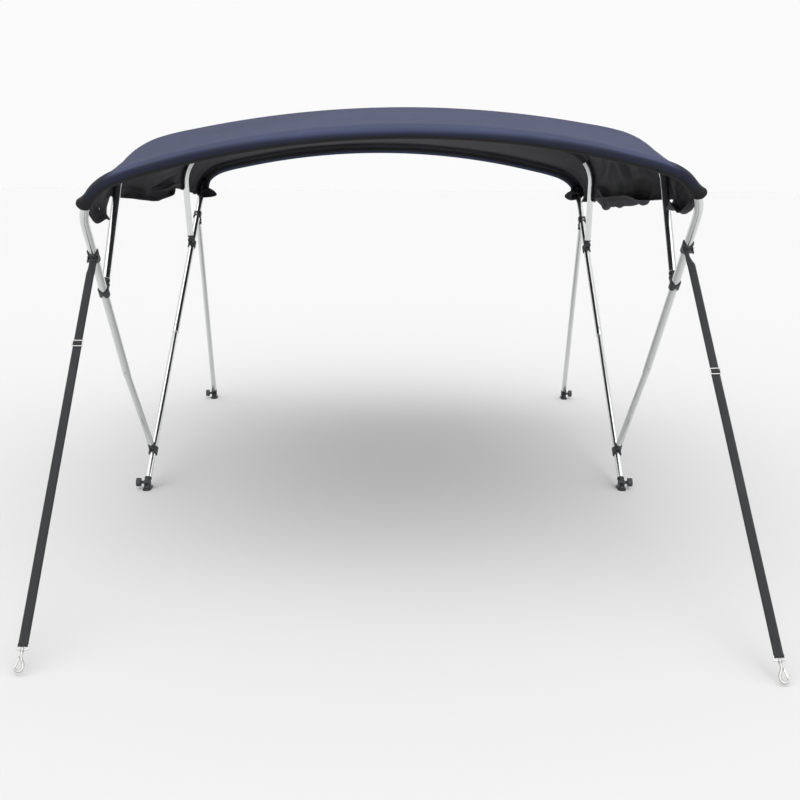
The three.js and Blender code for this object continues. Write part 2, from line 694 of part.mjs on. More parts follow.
function ridgePoint(index, station, radius) {
  const { point, out, fore } = bowStation(index, station);
  const angles = [];
  if (index > 0) angles.push(tangentAngle(index, index - 1, station));
  if (index < 3) angles.push(tangentAngle(index, index + 1, station));
  const angle = angles.reduce((sum, one) => sum + one, 0) / angles.length;
  return point.addScaledVector(out, radius * Math.cos(angle)).addScaledVector(fore, radius * Math.sin(angle));
}

function pocketPoint(index, station, wrap) {
  const { point, out, fore } = bowStation(index, station);
  const neighbour = index === 0 ? 1 : 2;
  const away = index === 0 ? 1 : -1;
  const tangent = tangentAngle(index, neighbour, station);
  const angle = mix(tangent, away * radians(WRAP_END), wrap);
  const flare = FLARE[(index === 0 ? "front" : "rear") + (station.side < 0 ? "Left" : "Right")];
  const part = THREE.MathUtils.clamp((wrap - flare.from) / (flare.to - flare.from), 0, 1);
  const place = station.across ?? 2 + (station.down ?? 1);
  const hang = Math.max(place - flare.start, 0) / (3 - flare.start);
  const loose = Math.sin(Math.PI * part) ** flare.sharp * hang ** flare.late * (1 - flare.ebb * hang ** 8);
  const radius = POCKET_RADIUS + flare.by * loose;
  return point.addScaledVector(out, radius * Math.cos(angle)).addScaledVector(fore, radius * Math.sin(angle));
}

// The side of the cloth between two bows: down to the hem, which hangs in and curls up inside
function sidePoint(from, to, at, side, down) {
  const corner = { side, across: 2 };
  const high = ridgePoint(from, corner, RIDGE_RADIUS).lerp(ridgePoint(to, corner, RIDGE_RADIUS), at);
  const foot = { side, hem: true };
  const low = ridgePoint(from, foot, RIDGE_RADIUS).lerp(ridgePoint(to, foot, RIDGE_RADIUS), at);
  const row = hemRow(low.y);
  const word = side < 0 ? "left" : "right";
  const edge = row[word];
  const apart = Math.min(1, Math.min(at, 1 - at) * 4);
  const curl = row[`${word}Curl`] * apart;
  const inward = row[`${word}In`] * apart;
  const fall = high.z - edge;
  const rolled = Math.min(mix(CURL.short, CURL.long, curl), fall * 0.75);
  const steps = SIDE_STATIONS - 2;
  const path = [{ in: 0, down: 0 }];
  let deepest = 0;
  for (let i = 1; i <= steps; i += 1) {
    const turn = radians(CURL.angle) * curl * Math.min((i - 0.5) / steps / CURL.turned, 1);
    const last = path.at(-1);
    const stride = rolled / steps;
    path.push({ in: last.in + stride * Math.sin(turn), down: last.down + stride * Math.cos(turn) });
    deepest = Math.max(deepest, path.at(-1).down);
  }
  const start = fall - deepest;
  const place = down * (SIDE_STATIONS - 1);
  const index = Math.round(place) - 1;
  const spot = index < 0 ? { in: 0, down: -start * (1 - place) } : path[index];
  const f = (start + spot.down) / fall;
  return new THREE.Vector3(
    mix(high.x, low.x, f) - side * (inward * smooth(THREE.MathUtils.clamp(f, 0, 1)) + spot.in),
    mix(high.y, low.y, THREE.MathUtils.clamp(f, 0, 1)),
    high.z - start - spot.down,
  );
}

function clothPoint(column, station) {
  if (column.wrap !== undefined) return pocketPoint(column.bow, station, column.wrap);
  if (column.at === 0) return ridgePoint(column.bow, station, RIDGE_RADIUS);
  const from = column.at < 0 ? column.bow - 1 : column.bow;
  const at = column.at < 0 ? 1 + column.at : column.at;
  if (station.down > 0) return sidePoint(from, from + 1, at, station.side, station.down);
  const edge = (index) => {
    if (index === 0 || index === 3) return pocketPoint(index, station, 0);
    return ridgePoint(index, station, RIDGE_RADIUS);
  };
  const point = edge(from).lerp(edge(from + 1), at);
  const { out } = bowStation(at < 0.5 ? from : from + 1, station);
  const sag = SAG * 4 * at * (1 - at) * (station.across > 1 ? 2 - station.across : 1);
  return point.addScaledVector(out, -sag);
}

// Stations across the cloth from the left hem to the right hem
function stations() {
  const half = (side) => {
    const list = [];
    for (let i = 1; i <= ARCH_STEPS; i += 1) list.push({ side, across: i / ARCH_STEPS });
    for (let i = 1; i <= CORNER_STEPS; i += 1) list.push({ side, across: 1 + i / CORNER_STEPS });
    for (let i = 1; i < SIDE_STATIONS; i += 1) list.push({ side, down: i / (SIDE_STATIONS - 1) });
    return list;
  };
  return [...half(-1).reverse(), { side: 1, across: 0 }, ...half(1)];
}

// Outer face as a grid, a row for each station across and a column for each place from front to rear
function clothGrid() {
  return stations().map((station) => COLUMNS.map((column) => clothPoint(column, station)));
}

function gridNormal(grid, row, column) {
  const last = grid.length - 1;
  const end = grid[0].length - 1;
  const across = grid[Math.min(row + 1, last)][column].clone().sub(grid[Math.max(row - 1, 0)][column]);
  const along = grid[row][Math.min(column + 1, end)].clone().sub(grid[row][Math.max(column - 1, 0)]);
  return across.cross(along).normalize();
}

// A point under the cloth, that far below its outer face
function beneath(grid, row, column, depth) {
  return grid[row][column].clone().addScaledVector(gridNormal(grid, row, column), -depth);
}

function addCanopy(grid) {
  const rings = grid.map((line, row) => {
    const inner = line.map((_, column) => beneath(grid, row, column, CLOTH.thickness));
    return [...line, ...inner.reverse()];
  });
  add("canopy", stripLoft(rings), "canopy");
}

// A sewn strip under the canopy: it runs down beside the bow, round under it and up to the cloth again
function pocketRings(grid, index, steps) {
  const middle = COLUMNS.findIndex((column) => column.bow === index && column.at === 0);
  const list = stations();
  const half = (list.length - 1) / 2;
  const reach = ARCH_STEPS + steps;
  const rings = [];
  for (let row = half - reach; row <= half + reach; row += 1) {
    const { point, fore } = bowStation(index, list[row]);
    const up = gridNormal(grid, row, middle);
    const side = fore.clone().addScaledVector(up, -fore.dot(up)).normalize();
    const face = (extra) => {
      const radius = TUBE_RADIUS + POCKET_STRIP.clear + extra;
      const line = [-1, -0.5, 0, 0.5, 1].map((part) => {
        const angle = radians(POCKET_STRIP.turn) * part;
        return point.clone().addScaledVector(up, -radius * Math.cos(angle))
          .addScaledVector(side, -radius * Math.sin(angle));
      });
      const depth = CLOTH.thickness + GAP + extra;
      return [beneath(grid, row, middle - 1, depth), ...line, beneath(grid, row, middle + 1, depth)];
    };
    rings.push([...face(POCKET_STRIP.thickness), ...face(0).reverse()]);
  }
  return rings;
}

function addPockets(grid) {
  for (const [name, steps] of Object.entries(POCKET_ENDS)) {
    const index = ORDER.indexOf(BOWS[name]);
    add(`pocket_${name}`, stripLoft(pocketRings(grid, index, steps)), "pocket");
  }
}

// Press studs on the inner face of the cloth's sides, each on one facet of the cloth
function addStuds(grid) {
  const spots = { left: { row: 3, at: 0.52 }, right: { row: grid.length - 6, at: 0.72 } };
  for (const [word, { row, at }] of Object.entries(spots)) {
    const column = COLUMNS.findIndex((entry) => entry.bow === 0 && entry.at === at);
    const corners = [[row, column], [row + 1, column - 1], [row, column - 1]];
    const facet = new THREE.Triangle(...corners.map(([r, c]) => beneath(grid, r, c, CLOTH.thickness)));
    const inward = facet.getNormal(new THREE.Vector3());
    const centre = facet.getMidpoint(new THREE.Vector3());
    centre.addScaledVector(inward, STUD.clear + STUD.thickness / 2);
    const disc = rod("z", STUD.radius, -STUD.thickness / 2, STUD.thickness / 2, 10);
    add(`stud_${word}`, disc, "steel", frameAt(centre, inward));
  }
}

// Straps

// Outline of a ribbon that follows a line of [along, off] points
function ribbon(points, thickness) {
  const left = [];
  const right = [];
  points.forEach(([a, b], i) => {
    const [a0, b0] = points[Math.max(i - 1, 0)];
    const [a1, b1] = points[Math.min(i + 1, points.length - 1)];
    const before = new THREE.Vector2(a - a0, b - b0).normalize();
    const after = new THREE.Vector2(a1 - a, b1 - b).normalize();
    const along = before.clone().add(after).normalize();
    const bend = Math.max(0.5, along.dot(i === 0 ? after : before));
    const offset = thickness / 2 / bend;
    left.push(new THREE.Vector2(a - along.y * offset, b + along.x * offset));
    right.push(new THREE.Vector2(a + along.y * offset, b - along.x * offset));
  });
  return new THREE.Shape([...left, ...right.reverse()]);
}

function arc(centre, radius, from, to, steps) {
  return Array.from({ length: steps + 1 }, (_, i) => {
    const turn = radians(mix(from, to, i / steps));
    return [centre + radius * Math.cos(turn), radius * Math.sin(turn)];
  });
}

// The strap from its bar on the front bow, over the glide's middle bar, round the snap hook's loop and back
function strapLine(length, glide) {
  const layer = (STRAP.thickness + STRAP.layerGap) / 2;
  const topWrap = STRAP.barRadius + GAP + STRAP.thickness / 2;
  const endWrap = LOOP.wire * 0.71 + GAP + STRAP.thickness / 2;
  const over = glide.front + GAP + STRAP.thickness / 2;
  const slot = GLIDE.slot / 2 + GLIDE.bar / 2;
  const climb = GLIDE.slot * 0.36;
  return [
    [STRAP.foldBack, -layer],
    [12, -layer],
    ...arc(0, topWrap, 260, 100, 6),
    [12, layer],
    [glide.at - slot - climb, layer],
    [glide.at - slot + climb, over],
    [glide.at + slot - climb, over],
    [glide.at + slot + climb, layer],
    [length - 8, layer],
    ...arc(length, endWrap, 80, -80, 6),
    [length - 8, -layer],
    [glide.at - GLIDE.height / 2 - 4, -layer],
  ];
}

function addStraps() {
  for (const [word, side] of Object.entries(SIDES)) {
    const bar = new THREE.Vector3(0, STRAP.eyeReach, 0).applyMatrix4(strapSlidePlace(word));
    const run = STRAP_END[word].clone().sub(bar);
    const length = run.length();
    const layer = (STRAP.thickness + STRAP.layerGap) / 2;
    const back = layer + STRAP.thickness / 2 + GAP;
    const middle = back + GLIDE.thickness / 2;
    const glide = { at: length * GLIDE_AT[word], front: back + GLIDE.thickness };
    const place = frameAt(bar, run);
    const outline = ribbon(strapLine(length, glide), STRAP.thickness);
    const turned = new THREE.Matrix4().makeBasis(
      new THREE.Vector3(0, 0, 1), new THREE.Vector3(0, 1, 0), new THREE.Vector3(-1, 0, 0),
    ).setPosition(STRAP.width / 2, 0, 0);
    add(`strap_${word}`, plate(outline, STRAP.width, false), "webbing", place.clone().multiply(turned));
    const glidePlace = place.clone().multiply(new THREE.Matrix4().makeTranslation(0, middle, glide.at));
    add(`glide_${word}`, glidePlate(), "steel", glidePlace);
    addSnap(word, frameAt(STRAP_END[word], run, side > 0));
  }
}

function rectangle(width, from, to) {
  const half = width / 2;
  return [
    new THREE.Vector2(-half, from), new THREE.Vector2(half, from),
    new THREE.Vector2(half, to), new THREE.Vector2(-half, to),
  ];
}

// A plate whose outline lies in the XZ plane
function flat(shape, thickness) {
  const geometry = plate(shape, thickness);
  geometry.rotateX(Math.PI / 2);
  return geometry;
}

// Glide with two slots, in the plane of the strap
function glidePlate() {
  const shape = new THREE.Shape(rectangle(GLIDE.width, -GLIDE.height / 2, GLIDE.height / 2));
  for (const side of [-1, 1]) {
    const near = side * GLIDE.bar / 2;
    const far = side * (GLIDE.bar / 2 + GLIDE.slot);
    shape.holes.push(new THREE.Path(rectangle(STRAP.width + 1.2, Math.min(near, far), Math.max(near, far))));
  }
  return flat(shape, GLIDE.thickness);
}

// Snap hook. Its z axis points away from the strap and starts at the middle of the loop's upper bar.
function addSnap(word, place) {
  const top = -LOOP.wire / 2;
  const bottom = top + LOOP.height;
  const ring = new THREE.Shape(rectangle(LOOP.width, top, bottom));
  ring.holes.push(new THREE.Path(rectangle(STRAP.width + 1, LOOP.wire / 2, bottom - LOOP.wire)));
  const boss = rod("z", LOOP.bossRadius, bottom - LOOP.wire, bottom + 1, 10);
  const bore = rod("z", LOOP.boreRadius, 4, bottom + 2, 10);
  add(`snap_loop_${word}`, cut(join(flat(ring, LOOP.wire), boss), bore), "steel", place);

  const seat = bottom + 1 + GAP;
  const stud = rod("z", HOOK.stud, bottom - LOOP.wire - 1.5, seat + 1, 10);
  const head = rod("z", HOOK.head, bottom - LOOP.wire - GAP - 2, bottom - LOOP.wire - GAP, 10);
  const collar = rod("z", HOOK.collar, seat, seat + 3.5, 10);
  const line = [[0, 15], [0, 28], [2.5, 36], [7, 44], [9, 53], [6.5, 61], [0, 65], [-6.5, 62.5], [-9.5, 57]];
  const wire = sweep(line.map(([x, z]) => new THREE.Vector3(x, 0, z)), HOOK.wire, 8);
  add(`snap_hook_${word}`, join(stud, head, collar, wire), "steel", place);

  const gate = new THREE.Shape(GATE.outline.map(([x, z]) => new THREE.Vector2(x, z)));
  add(`snap_gate_${word}`, flat(gate, GATE.thickness), "steel", place);
}

const cloth = clothGrid();
addTubes();
addSlides();
addEyeEnds();
addHinges();
addCanopy(cloth);
addPockets(cloth);
addStuds(cloth);
addStraps();

export default top;
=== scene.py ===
"""Bimini top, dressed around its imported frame: cloth, tubes, fittings, straps and snap hooks."""
import math

import bmesh
import bpy
import numpy as np
from mathutils import Matrix, Vector


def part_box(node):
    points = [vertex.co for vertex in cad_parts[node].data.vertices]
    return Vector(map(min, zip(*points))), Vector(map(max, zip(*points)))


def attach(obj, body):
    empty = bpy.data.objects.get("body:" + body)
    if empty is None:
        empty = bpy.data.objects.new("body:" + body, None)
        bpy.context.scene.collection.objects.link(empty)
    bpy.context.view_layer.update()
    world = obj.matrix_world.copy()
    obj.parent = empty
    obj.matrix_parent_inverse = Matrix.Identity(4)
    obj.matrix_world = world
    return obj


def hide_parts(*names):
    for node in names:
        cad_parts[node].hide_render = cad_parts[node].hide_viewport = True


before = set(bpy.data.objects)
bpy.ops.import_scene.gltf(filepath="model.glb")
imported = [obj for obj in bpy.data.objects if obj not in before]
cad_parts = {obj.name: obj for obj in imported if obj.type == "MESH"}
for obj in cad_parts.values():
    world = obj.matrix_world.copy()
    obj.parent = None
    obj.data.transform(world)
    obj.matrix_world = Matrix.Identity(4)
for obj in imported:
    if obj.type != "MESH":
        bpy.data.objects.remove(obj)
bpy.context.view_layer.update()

bl_info = {
    "name": "Bimini Top",
    "version": (1, 0, 0),
    "blender": (4, 5, 0),
    "location": "View3D > Sidebar > Bimini Top",
    "description": "Builds the cloth, tubes, fittings and straps of a bimini top around its packed frame",
    "category": "Object",
}

# Sizes of the frame in millimetres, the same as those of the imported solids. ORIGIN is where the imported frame
# has its origin, and GAP is the clearance between pieces that touch in life.
ORIGIN = np.array([0.5, 1.0, 0.0])
GAP = 0.4
TUBE_RADIUS = 12.7
LEG_RADIUS = 11.2
TUBE_SIDES = 28
TUBE_LIP = 0.8
PIVOT_HEIGHT = 24
MAIN_HALF_SPAN = 876
MAIN_FOOT_SHIFT = -18
REAR_PIVOT_Y = 1528
REAR_HALF_SPAN = 880
REAR_FOOT_SHIFT = 15
FORK_GAP = 12.6
TONGUE = {"thickness": 10.8, "radius": 9}
CAP = {"start": 14, "length": 6, "radius": 13}
PIN_RADIUS = 4
SLIDE = {"radius": 17, "height": 30, "saddle": 6, "reach": 28}
STRAP_SLIDE = {"height": 40, "saddle": 9}
LUG = {"thickness": 5, "radius": 10}
HINGE_BASE = {"width": 30, "length": 68, "thickness": 5, "hole": 3.5, "spacing": 48}
KNOB = {"neck": 6.3, "neck_length": 12, "head": 16.3, "thickness": 16, "lobes": 8}
# Heights of the slides on their tubes, and of the joints where the lower legs go into their bows
HEIGHT = {
    "front_foot": 116, "main_joint": 494, "third": 816, "pole": 932,
    "front_joint": 481, "second": 809, "strap": 933,
}
# Bows: how far they lean back for each millimetre of height, the height of the crown, the radius of the arch
# and of the corners, half the width at the legs' tops and feet, how much the right corner is raised and the
# left one lowered, and how far the legs' tops and feet are shifted to the right
BOWS = {
    "front": {"lean": -0.907, "crown": 1269, "arch": 2000, "corner": 195, "half": 875,
              "foot": 890, "tilt": 19, "shift": -7, "foot_shift": -18},
    "second": {"lean": 0.972, "crown": 1350, "arch": 2500, "corner": 215, "half": 897,
               "foot": 890, "tilt": 18, "shift": -3, "foot_shift": -8},
    "third": {"lean": -0.159, "crown": 1305, "arch": 3500, "corner": 150, "half": 852,
              "foot": 847, "tilt": 4, "shift": 0, "foot_shift": 8},
    "main": {"lean": 1.078, "crown": 1223, "arch": 2100, "corner": 150, "half": 838,
             "foot": 876, "tilt": -8, "shift": 12, "foot_shift": -18},
}
# Two heights that give the direction of a leg
LEG_HEIGHTS = (400, 900)
CLOTH = {"thickness": 2, "lift": 1.6, "pocket": 1.8, "sag": 9}
POCKET_STRIP = {"thickness": 1.5, "clear": 1.8, "turn": 76}
POCKET_ENDS = {"second": 5, "third": 3}
# The hem along the canopy: its height on each side, how far it hangs inward, and how much it curls (0 to 1)
HEM_COLUMNS = ("y", "left", "right", "left_in", "right_in", "left_curl", "right_curl")
HEM = [dict(zip(HEM_COLUMNS, row)) for row in (
    (-800, 1037, 1065, 2, 4, 0.1, 0.3),
    (-700, 1013, 1051, 12, 14, 0.35, 0.9),
    (-580, 1019, 1045, 8, 12, 0.3, 0.8),
    (-470, 1009, 1053, 4, 5, 0.2, 0.4),
    (-360, 1015, 1067, 0, 0, 0, 0),
    (-290, 1071, 1073, 0, 0, 0, 0),
    (-150, 1063, 1063, 6, 8, 0.2, 0.7),
    (20, 1047, 1041, 10, 14, 0.3, 0.9),
    (190, 1033, 1027, 16, 12, 0.4, 0.9),
    (360, 1035, 1015, 8, 18, 0.2, 0.9),
    (540, 1045, 1011, 12, 14, 0.3, 0.8),
    (700, 1063, 1015, 4, 6, 0.1, 0.4),
    (840, 1051, 1013, 0, 0, 0, 0),
    (950, 1033, 1005, 6, 8, 0.2, 0.4),
    (1040, 1019, 1005, 0, 0, 0, 0),
    (1085, 1023, 1021, 0, 0, 0, 0),
    (1110, 1089, 1053, 0, 0, 0, 0),
)]
# The first guess of how far the hem lies under a leg's top, and how often it is bettered
HEM_GUESS = 30
HEM_PASSES = 6
# How the hem rolls inward: its full turn in degrees, the length of cloth that turns and how soon it does
CURL = {"angle": 178, "short": 62, "long": 108, "turned": 0.55}
# How far over the front bow's corner its sleeve goes, from 1 at the shoulder to 2 at the leg's top: where its
# corner and its side end, and the place that the hem behind it aims at
FRONT_SLEEVE = {
    "left": {"reach": 1.46, "end": 1.63, "hem": 1.8},
    "right": {"reach": 1.42, "end": 1.61, "hem": 1.9},
}
# Where a sleeve's loose end stands off its bow: by how many millimetres, from where to where round the bow,
# how sharply, from which place across, how late it grows towards the hem, and how much it ebbs at the hem
FLARE_COLUMNS = ("by", "from", "to", "sharp", "start", "late", "ebb")
FLARE = {name: dict(zip(FLARE_COLUMNS, row)) for name, row in {
    "front_left": (12, -0.35, 0.5, 1, 2, 2.6, 0),
    "front_right": (12, -0.35, 0.5, 1, 2, 2.6, 0),
    "rear_left": (60, 0.5, 1.04, 2, 1.5, 1.1, 0),
    "rear_right": (64, 0.4, 1.1, 2, 1.65, 0.7, 0.7),
}.items()}
# How finely the cloth's grid is divided: rows at the sides and on top, columns in a sleeve and between bows
FINE = {"side": 6, "top": 4, "sleeve": 3, "between": 56}
# How many degrees round its bow a sleeve's cloth ends; then the coarse steps of the cloth's grid
WRAP_END = 256
WRAP_STEPS = 7
ARCH_STEPS = 7
CORNER_STEPS = 6
SIDE_STATIONS = 7
STRAP = {"width": 24, "thickness": 1.6, "eye": 24, "bar": 2.2, "layer_gap": 0.6, "fold_back": 46}
# The glide's place as a share of the strap's run, and where that run ends, in the eye of the snap hook's loop
GLIDE_AT = {"left": 0.25, "right": 0.342}
STRAP_END = {"left": np.array([-900.0, -1450, 60]), "right": np.array([907.0, -1512, 55])}
GLIDE = {"width": 32, "height": 21, "thickness": 2.8, "slot": 5.6, "bar": 3.8}
LOOP = {"width": 32, "height": 14, "wire": 3.4, "boss": 5, "bore": 3}
HOOK = {"stud": 2.6, "head": 4.2, "collar": 5.2, "wire": 3.3}
SIDES = {"left": -1, "right": 1}

# Places of the cloth's columns between the bows, each as a share of the way from one bow to the next; those a
# little before and behind the second and the third bow are where the pocket strips are sewn on
BETWEEN_BOWS = (
    (0.13, 0.32, 0.52, 0.72, 0.88),
    (-0.035, 0, 0.035, 0.18, 0.36, 0.55, 0.73, 0.88),
    (-0.05, 0, 0.06, 0.35, 0.68),
)
POCKET_SEAMS = {"second": (-0.035, 0.035), "third": (-0.05, 0.06)}

# Geometry of the frame

def mix(a, b, f):
    return a + (b - a) * f


def smooth(f):
    """0 below 0, 1 above 1, and a soft step between."""
    f = np.clip(f, 0, 1)
    return f * f * (3 - 2 * f)


def unit(v):
    return v / np.linalg.norm(v)


def metres(points):
    """Points in the frame's metres."""
    return (np.asarray(points, float) - ORIGIN) / 1000


def bow_shape(bow):
    """Across to a corner's centre, the arch's angle up to the corner, and up the plane to the leg's top."""
    centre = bow["half"] - bow["corner"]
    arm = bow["arch"] - bow["corner"]
    return centre, math.asin(centre / arm), math.sqrt(arm * arm - centre * centre) - bow["arch"]


def rise(bow):
    """The height gained for each millimetre up a bow's plane."""
    return 1 / math.hypot(1, bow["lean"])


def leg_top(bow):
    return bow["crown"] + bow_shape(bow)[2] * rise(bow)


def bow_point(bow, side, across, height=None):
    """A point of a bow's axis: 0 is the crown, 1 the shoulder, 2 the leg's top, and below it a height."""
    centre, turn, leg_end = bow_shape(bow)
    x, v = bow["half"], leg_end
    if across <= 1:
        x = bow["arch"] * math.sin(turn * across)
        v = bow["arch"] * (math.cos(turn * across) - 1)
    elif across <= 2:
        angle = mix(math.pi / 2 - turn, 0, across - 1)
        x = centre + bow["corner"] * math.cos(angle)
        v = leg_end + bow["corner"] * math.sin(angle)
    z = bow["crown"] + v * rise(bow)
    up = 1
    if height is not None:
        up = (height - PIVOT_HEIGHT) / (leg_top(bow) - PIVOT_HEIGHT)
        x = mix(bow["foot"], bow["half"], up)
        z = height
    y = bow.get("base", 0) + bow["lean"] * (z - PIVOT_HEIGHT)
    tilt = bow["tilt"] * up * side * x / bow["half"]
    return np.array([side * x + mix(bow["foot_shift"], bow["shift"], up), y, z + tilt])


def along_leg(bow, side):
    low, high = LEG_HEIGHTS
    return unit(bow_point(bow, side, 2, high) - bow_point(bow, side, 2, low))


def frame_at(origin, direction, turned=False):
    """Axes at a point: z along the direction, x as near to +X as it can be."""
    z = unit(np.asarray(direction, float))
    x = unit(np.array([1.0, 0, 0]) - z * z[0])
    y = np.cross(z, x)
    if turned:
        x, y = -x, -y
    place = np.eye(4)
    place[:3, 0], place[:3, 1], place[:3, 2], place[:3, 3] = x, y, z, origin
    return place


def moved(place, points):
    """Points that are given in the axes of a place."""
    return np.asarray(points, float) @ place[:3, :3].T + place[:3, 3]


def jaw_pin(bow, side, height, turned):
    """The pin of the jaw slide at a height of a bow's leg."""
    place = frame_at(bow_point(bow, side, 2, height), along_leg(bow, side), turned)
    return moved(place, [0, SLIDE["reach"], 0])


def towards(start, end, distance):
    """The point at a distance from the start on its way to the end."""
    return start + unit(end - start) * distance


def set_bases():
    """How far back each bow's plane is at the deck pins' height, so that it meets the bow that holds it."""
    foot = HEIGHT["front_foot"] - PIVOT_HEIGHT
    main, front, second, third = (BOWS[name] for name in ("main", "front", "second", "third"))
    main["base"] = 0
    front["base"] = (main["lean"] - front["lean"]) * foot
    front_y = front["base"] + front["lean"] * (HEIGHT["second"] - PIVOT_HEIGHT)
    second["base"] = front_y - second["lean"] * (HEIGHT["second"] - PIVOT_HEIGHT)
    third_y = main["lean"] * (HEIGHT["third"] - PIVOT_HEIGHT)
    third["base"] = third_y - third["lean"] * (HEIGHT["third"] - PIVOT_HEIGHT)


set_bases()
TUBE_START = CAP["start"] + CAP["length"] + GAP
PINS = {}
for _word, _side in SIDES.items():
    PINS[_word] = {
        "main": np.array([_side * MAIN_HALF_SPAN + MAIN_FOOT_SHIFT, 0, PIVOT_HEIGHT]),
        "rear": np.array([_side * REAR_HALF_SPAN + REAR_FOOT_SHIFT, REAR_PIVOT_Y, PIVOT_HEIGHT]),
        "front": jaw_pin(BOWS["main"], _side, HEIGHT["front_foot"], True),
        "third": jaw_pin(BOWS["main"], _side, HEIGHT["third"], True),
        "pole": jaw_pin(BOWS["main"], _side, HEIGHT["pole"], False),
        "second": jaw_pin(BOWS["front"], _side, HEIGHT["second"], False),
    }


def strap_slide_place(word):
    """The axes of the slide that holds a strap."""
    side = SIDES[word]
    bow = BOWS["front"]
    return frame_at(bow_point(bow, side, 2, HEIGHT["strap"]), along_leg(bow, side), True)


# Geometry of the cloth

ORDER = list(BOWS.values())
POCKET_RADIUS = TUBE_RADIUS + CLOTH["pocket"] + CLOTH["thickness"]
RIDGE_RADIUS = TUBE_RADIUS + CLOTH["lift"] + CLOTH["thickness"]


def columns():
    """Places from the front of the cloth to its rear, as (bow, at, wrap)."""
    wraps = [i / WRAP_STEPS for i in range(WRAP_STEPS + 1)]
    places = [(bow, at, None) for bow, ats in enumerate(BETWEEN_BOWS) for at in ats]
    return [(0, None, wrap) for wrap in reversed(wraps)] + places + [(3, None, wrap) for wrap in wraps]


def stations():
    """Places across the cloth from the left hem to the right hem, as (side, across, down)."""
    def half(side):
        rows = [(side, i / ARCH_STEPS, None) for i in range(1, ARCH_STEPS + 1)]
        rows += [(side, 1 + i / CORNER_STEPS, None) for i in range(1, CORNER_STEPS + 1)]
        rows += [(side, None, i / (SIDE_STATIONS - 1)) for i in range(1, SIDE_STATIONS)]
        return rows
    return half(-1)[::-1] + [(1, 0, None)] + half(1)


def hem_row(y):
    """The hem's values at a place from front to rear."""
    row = next((i for i in range(1, len(HEM)) if HEM[i]["y"] >= y), 0)
    after = HEM[row] if row else HEM[-1]
    before = HEM[row - 1] if row else HEM[-1]
    f = smooth((y - before["y"]) / ((after["y"] - before["y"]) or 1))
    return {key: mix(before[key], after[key], f) for key in HEM_COLUMNS}


def word_of(side):
    return "left" if side < 0 else "right"


def hem_height(bow, side):
    """Where a bow's leg meets the hem, closer with each pass."""
    height = leg_top(bow) - HEM_GUESS
    for _ in range(HEM_PASSES):
        height = hem_row(bow_point(bow, side, 2, height)[1])[word_of(side)] - bow["tilt"] * side
    return height


def bow_axes(index, side, across, height=None):
    """A point of a bow's axis, the way out of the canopy there, and the way forward, square to the bow."""
    bow = ORDER[index]
    step = 0.01
    point = bow_point(bow, side, across, height)
    if height is not None:
        along = unit(bow_point(bow, side, 2, height - 5) - bow_point(bow, side, 2, height + 5))
    elif across == 0:
        along = unit(np.array([side, 0, side * bow["tilt"] / bow["half"]]))
    else:
        ahead = bow_point(bow, side, min(across + step, 2))
        along = unit(ahead - bow_point(bow, side, max(across - step, 0)))
    fore = np.array([0, -rise(bow), bow["lean"] * rise(bow)])
    out = unit(np.cross(along, fore) * side)
    if out @ np.array([side * 0.6, 0, 1]) < 0:
        out = -out
    return point, out, fore


def bow_station(index, station, hem=False):
    """The axes of a bow where a station across the cloth meets it, or where the hem aims."""
    side, across, down = station
    down = 1 if down is None else down
    bow = ORDER[index]
    sleeve = FRONT_SLEEVE[word_of(side)]
    reach = sleeve["reach"] if index == 0 else 2
    if across is not None:
        return bow_axes(index, side, mix(1, reach, across - 1) if across > 1 else across)
    if index == 0:
        return bow_axes(index, side, sleeve["hem"] if hem else mix(reach, sleeve["end"], down))
    height = mix(leg_top(bow), hem_height(bow, side), down)
    return bow_axes(index, side, 2, min(height, leg_top(bow) - 0.01))


def tangent_angle(index, neighbour, station, hem=False):
    """The angle round a bow, from straight out, at which cloth from the neighbour touches it."""
    point, out, fore = bow_station(index, station, hem)
    ahead = bow_station(neighbour, station, hem)[0] - point
    across = fore @ ahead
    return -math.atan2(out @ ahead, abs(across) or 1) * (np.sign(across) or 1)


def ridge_point(index, station, radius, hem=False):
    """A point of the cloth where it lies over a bow."""
    point, out, fore = bow_station(index, station, hem)
    near = [index + step for step in (-1, 1) if 0 <= index + step <= 3]
    angle = sum(tangent_angle(index, one, station, hem) for one in near) / len(near)
    return point + out * radius * math.cos(angle) + fore * radius * math.sin(angle)


def pocket_point(index, station, wrap):
    """A point of a sleeve, part of the way round its bow."""
    point, out, fore = bow_station(index, station)
    tangent = tangent_angle(index, 1 if index == 0 else 2, station)
    angle = mix(tangent, (1 if index == 0 else -1) * math.radians(WRAP_END), wrap)
    flare = FLARE[("front_" if index == 0 else "rear_") + word_of(station[0])]
    part = float(np.clip((wrap - flare["from"]) / (flare["to"] - flare["from"]), 0, 1))
    place = station[1] if station[1] is not None else 2 + (1 if station[2] is None else station[2])
    hang = max(place - flare["start"], 0) / (3 - flare["start"])
    swell = abs(math.sin(math.pi * part)) ** flare["sharp"]
    loose = swell * hang ** flare["late"] * (1 - flare["ebb"] * hang ** 8)
    radius = POCKET_RADIUS + flare["by"] * loose
    return point + out * radius * math.cos(angle) + fore * radius * math.sin(angle)


